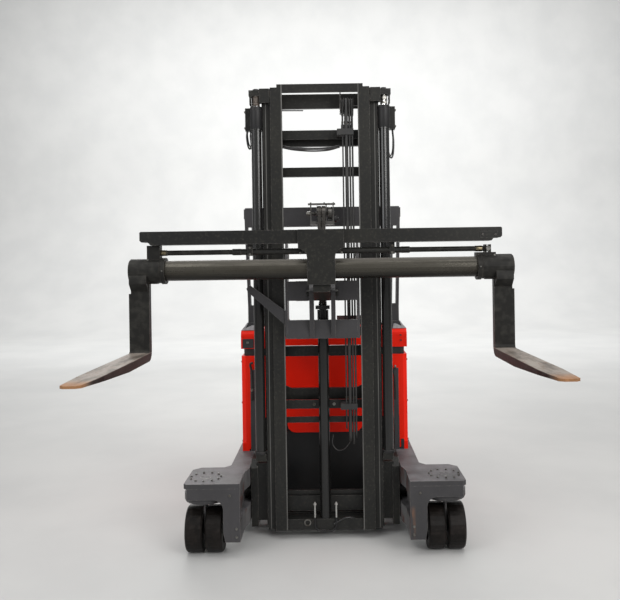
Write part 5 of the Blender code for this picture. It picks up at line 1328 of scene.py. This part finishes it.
# %% Swell and sew the pads
VOXEL = 0.0075
SWELL = 0.015
SEAM_DEPTH = 0.008
SWELL_FRAMES = 20


def vertex_values(mesh, kind):
    values = np.empty(len(mesh.vertices) * 3, dtype=np.float32)
    mesh.vertices.foreach_get(kind, values)
    return values.reshape(-1, 3)


def channel(places):
    """How near each point lies to a sewn channel: a bell curve of its distance, from 0 to 1."""
    gap = np.abs(places[:, 1, None] + MID_Y - np.array(CHANNELS)).min(axis=1)
    return np.exp(-(gap / 0.0055) ** 2)


def frozen(piece):
    """The mesh with its modifiers applied takes the place of the piece's own."""
    graph = bpy.context.evaluated_depsgraph_get()
    mesh = bpy.data.meshes.new_from_object(piece.evaluated_get(graph))
    piece.modifiers.clear()
    piece.data = mesh
    return mesh


def swell(piece, held):
    """Even small faces, then pressure from inside; no point moves further than SWELL."""
    remesh = piece.modifiers.new("skin", "REMESH")
    remesh.mode = "VOXEL"
    remesh.voxel_size = VOXEL
    start = vertex_values(frozen(piece), "co")
    pinned = piece.vertex_groups.new(name="held")
    pinned.add(np.flatnonzero(held(start)).tolist(), 1.0, "REPLACE")
    cloth = piece.modifiers.new("foam", "CLOTH").settings
    cloth.quality = 5
    cloth.mass = 0.3
    cloth.tension_stiffness = cloth.compression_stiffness = 15
    cloth.bending_stiffness = 1.5
    cloth.use_pressure = True
    cloth.uniform_pressure_force = 4.0
    cloth.vertex_group_mass = "held"
    cloth.effector_weights.gravity = 0.0
    for step in range(1, SWELL_FRAMES + 1):
        scene.frame_set(step)
    skin = frozen(piece)
    scene.frame_set(1)
    shift = vertex_values(skin, "co") - start
    length = np.linalg.norm(shift, axis=1, keepdims=True)
    skin.vertices.foreach_set("co", (start + shift * SWELL / np.maximum(length, SWELL)).ravel())
    skin.update()


def sewn(mesh, inward, face):
    """Press the channels into the padded face, as deep as the bell curve times SEAM_DEPTH."""
    places, normals = vertex_values(mesh, "co"), vertex_values(mesh, "normal")
    depth = channel(places) * SEAM_DEPTH * face(places, normals)
    mesh.vertices.foreach_set("co", (places + depth[:, None] * np.array(inward)).ravel())
    mesh.update()


def pad(shape, node, held, inward, face):
    piece = shape.ride("truck", "seat_vinyl", smooth=180)
    swell(piece, held)
    sewn(piece.data, inward, face)
    if not piece.data.materials:
        piece.data.materials.append(PAINTS["seat_vinyl"])
    piece.data.shade_smooth()
    round_off = piece.modifiers.new("round", "SUBSURF")
    round_off.levels = round_off.render_levels = 1
    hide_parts(node)
    return piece

# %% [markdown]
# The two pads replace the CAD's blocks. Round cord runs along the cushion's two seams.

# %% Seat cushion, backrest and piping
HELD = 0.8


def cushion_held(places):
    """The lower edge and, on top, the middle of each channel."""
    height = places[:, 2]
    return (height < 0.846) | ((channel(places) > HELD) & (height > 0.9))


def cushion_face(places, normals):
    return normals[:, 2] > 0.4


def backrest_held(places):
    """The rim behind the front face and, below the headrest, the middle of each channel."""
    depth, height = places[:, 0], places[:, 2]
    return (depth < back_face(height) - 0.050) | ((channel(places) > HELD) & (height < BACK_TOP - 0.05))


def backrest_face(places, normals):
    return (normals[:, 0] > 0.4) & (places[:, 2] < BACK_TOP - 0.02)


pad(cushion_form(), "seat_cushion", cushion_held, DOWN, cushion_face)
pad(backrest_form(), "seat_backrest", backrest_held, (-1, 0, 0), backrest_face)
piping = Shape("seat_piping")
for z in (0.9065, 0.8545):
    piping.tube(laid("Z", *cushion_outline(0.0035), z), 0.0028, 8, closed=True)
piping.ride("truck", "black_rubber")

# %% [markdown]
# The steering wheel is one closed profile turned about its column for the rim, a turned hub and knob,
# and three spokes bent from round bar that get thinner outwards.

# %% Steering wheel
WHEEL_X, WHEEL_Y, WHEEL_Z, WHEEL_RIM = 0.300, 1.680, 1.010, 0.105
DASH_Y, DASH_TOP = 1.0856, 1.210
LEVERS = (-0.22, -0.15, -0.08, -0.01)
FLOOR_TOP = 0.4403


def make_steering_wheel():
    """A padded rim on three spokes, the hub's cap and the spinner knob."""
    shape = Shape("steering_wheel_rim")
    middle = (WHEEL_X, WHEEL_Y)
    rim = [(WHEEL_Z + a, WHEEL_RIM - 0.0125 + b) for b, a in arc(0, 0, 0.0125, 0, 360, 14)[:-1]]
    shape.ring(rim, "Z", middle, 64)
    hub = ((WHEEL_Z - 0.0444, 0.027), (WHEEL_Z - 0.030, 0.030), (WHEEL_Z - 0.010, 0.034),
           (WHEEL_Z + 0.004, 0.033), (WHEEL_Z + 0.009, 0.028), (WHEEL_Z + 0.010, 0.020),
           (WHEEL_Z + 0.008, 0.018), (WHEEL_Z + 0.008, 0.001))
    shape.lathe(hub, "Z", middle, 40)
    for turn in (0, 120, 240):
        angle = math.radians(turn)
        points = []
        for radius, drop in ((0.024, -0.006), (0.050, -0.010), (0.075, -0.008), (0.095, 0.0)):
            points.append((WHEEL_X + radius * math.cos(angle), WHEEL_Y + radius * math.sin(angle),
                           WHEEL_Z + drop))
        shape.tube(route(points, 4), [0.0085 - 0.00018 * step for step in range(13)], 12)
    knob = ((WHEEL_Z + 0.006, 0.0085), (WHEEL_Z + 0.018, 0.0095), (WHEEL_Z + 0.024, 0.016),
            (WHEEL_Z + 0.036, 0.0175), (WHEEL_Z + 0.046, 0.015), (WHEEL_Z + 0.050, 0.009),
            (WHEEL_Z + 0.0505, 0.001))
    shape.lathe(knob, "Z", (WHEEL_X + WHEEL_RIM - 0.014, WHEEL_Y), 28)
    piece = shape.ride("hand_wheel", "black_plastic")
    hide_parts("steering_wheel")


make_steering_wheel()

# %% [markdown]
# Four levers work the hydraulics. A gaiter is a turned zigzag that narrows upwards.

# %% Levers


def make_levers():
    """Gaiters and shaped knobs on the hydraulic levers, and the plate of their console."""
    gaiters = Shape("lever_gaiters")
    knobs = Shape("lever_knobs")
    for x in LEVERS:
        folds = []
        for step in range(9):
            folds.append((DASH_TOP - 0.006 + 0.0052 * step,
                          (0.025 - 0.0017 * step) * (1.0 if step % 2 else 0.84)))
        folds.append((DASH_TOP + 0.041, 0.007))
        gaiters.lathe(folds, "Z", (x, DASH_Y + 0.1235), 22)
        grip = ((1.284, 0.0085), (1.292, 0.0135), (1.304, 0.0165), (1.316, 0.0172), (1.325, 0.0150),
                (1.330, 0.0095), (1.331, 0.001))
        knobs.lathe(grip, "Z", (x, DASH_Y + 0.131), 26)
    gaiters.ride("truck", "black_rubber")
    knobs.ride("truck", "black_plastic")
    plate = Shape("lever_console_plate")
    plate.prism(rounded(-0.262, 0.032, DASH_Y + 0.088, DASH_Y + 0.158, 0.014, 4), "Z", 1.2062, 1.2132)
    plate.ride("truck", "black_steel", 0.0012)


make_levers()

# %% [markdown]
# The display's bezel is a small profile carried round a rounded rectangle, so that it slopes inwards
# to the glass. The glass is a separate plate with the look of a screen that is off.

# %% Display and stop button


def make_display():
    """The dark screen in its bezel, a row of keys under it and a red stop button."""
    back = DASH_Y + 0.0302
    bezel = Shape("display_bezel")
    outer = rounded(0.104, 0.336, DASH_TOP + 0.010, DASH_TOP + 0.186, 0.012, 4)
    inner = rounded(0.120, 0.320, DASH_TOP + 0.046, DASH_TOP + 0.174, 0.006, 4)
    front = []
    for (xo, zo), (xi, zi) in zip(outer, inner):
        front.append(((xo, back - 0.001, zo), (xo, back + 0.006, zo), (xi, back + 0.008, zi),
                      (xi, back - 0.001, zi)))
    bezel.loft(front, closed=True)
    bezel.ride("truck", "black_plastic", 0.0006)
    glass = Shape("display_glass")
    glass.prism(inner, "Y", back - 0.0005, back + 0.0035)
    glass.ride("truck", "dark_screen")
    keys = Shape("display_keys")
    for step in range(6):
        x = 0.134 + 0.0345 * step
        keys.prism(rounded(x - 0.011, x + 0.011, DASH_TOP + 0.018, DASH_TOP + 0.038, 0.004, 3), "Y",
                   back + 0.004, back + 0.0085)
    keys.ride("truck", "black_rubber", 0.001)
    stop = Shape("stop_button")
    top = DASH_TOP + 0.036
    stop.lathe(((top - 0.006, 0.012), (top + 0.012, 0.012), (top + 0.013, 0.019), (top + 0.020, 0.020),
                (top + 0.026, 0.016), (top + 0.028, 0.001)), "Z", (0.395, DASH_Y + 0.055), 28)
    stop.ride("truck", "ruby_lens")


make_display()

# %% [markdown]
# Pedals and floor mat have ribs that grip a boot. Each rib is a small slanted prism.

# %% Ribs of the pedals and the mat


def make_pedals():
    """Ribbed rubber on the three pedals and on the floor mat."""
    shape = Shape("pedal_ribs")
    rise, run = 0.065, 0.120
    lean = math.atan2(rise, run)
    for centre in (1.180, 1.300, 1.420):
        for step in range(7):
            along = 0.016 + 0.0165 * step
            x = 0.420 + along * math.cos(lean)
            z = FLOOR_TOP + 0.010 + along * math.sin(lean)
            bar = [(x - 0.0038, z), (x + 0.0038, z + 0.0042), (x + 0.0015, z + 0.0078),
                   (x - 0.0058, z + 0.0037)]
            shape.prism(bar, "Y", centre - 0.034, centre + 0.034)
    for step in range(14):
        x = 0.190 + 0.0155 * step
        shape.box(x, x + 0.007, 1.120, 1.520, FLOOR_TOP + 0.0115, FLOOR_TOP + 0.0150)
    shape.ride("truck", "black_rubber", 0.0008)


make_pedals()

# %% [markdown]
# The view transform stays plain, so that the finishes' colours come out as they were matched.

# %% Set the view transform
scene.view_settings.view_transform = "Standard"
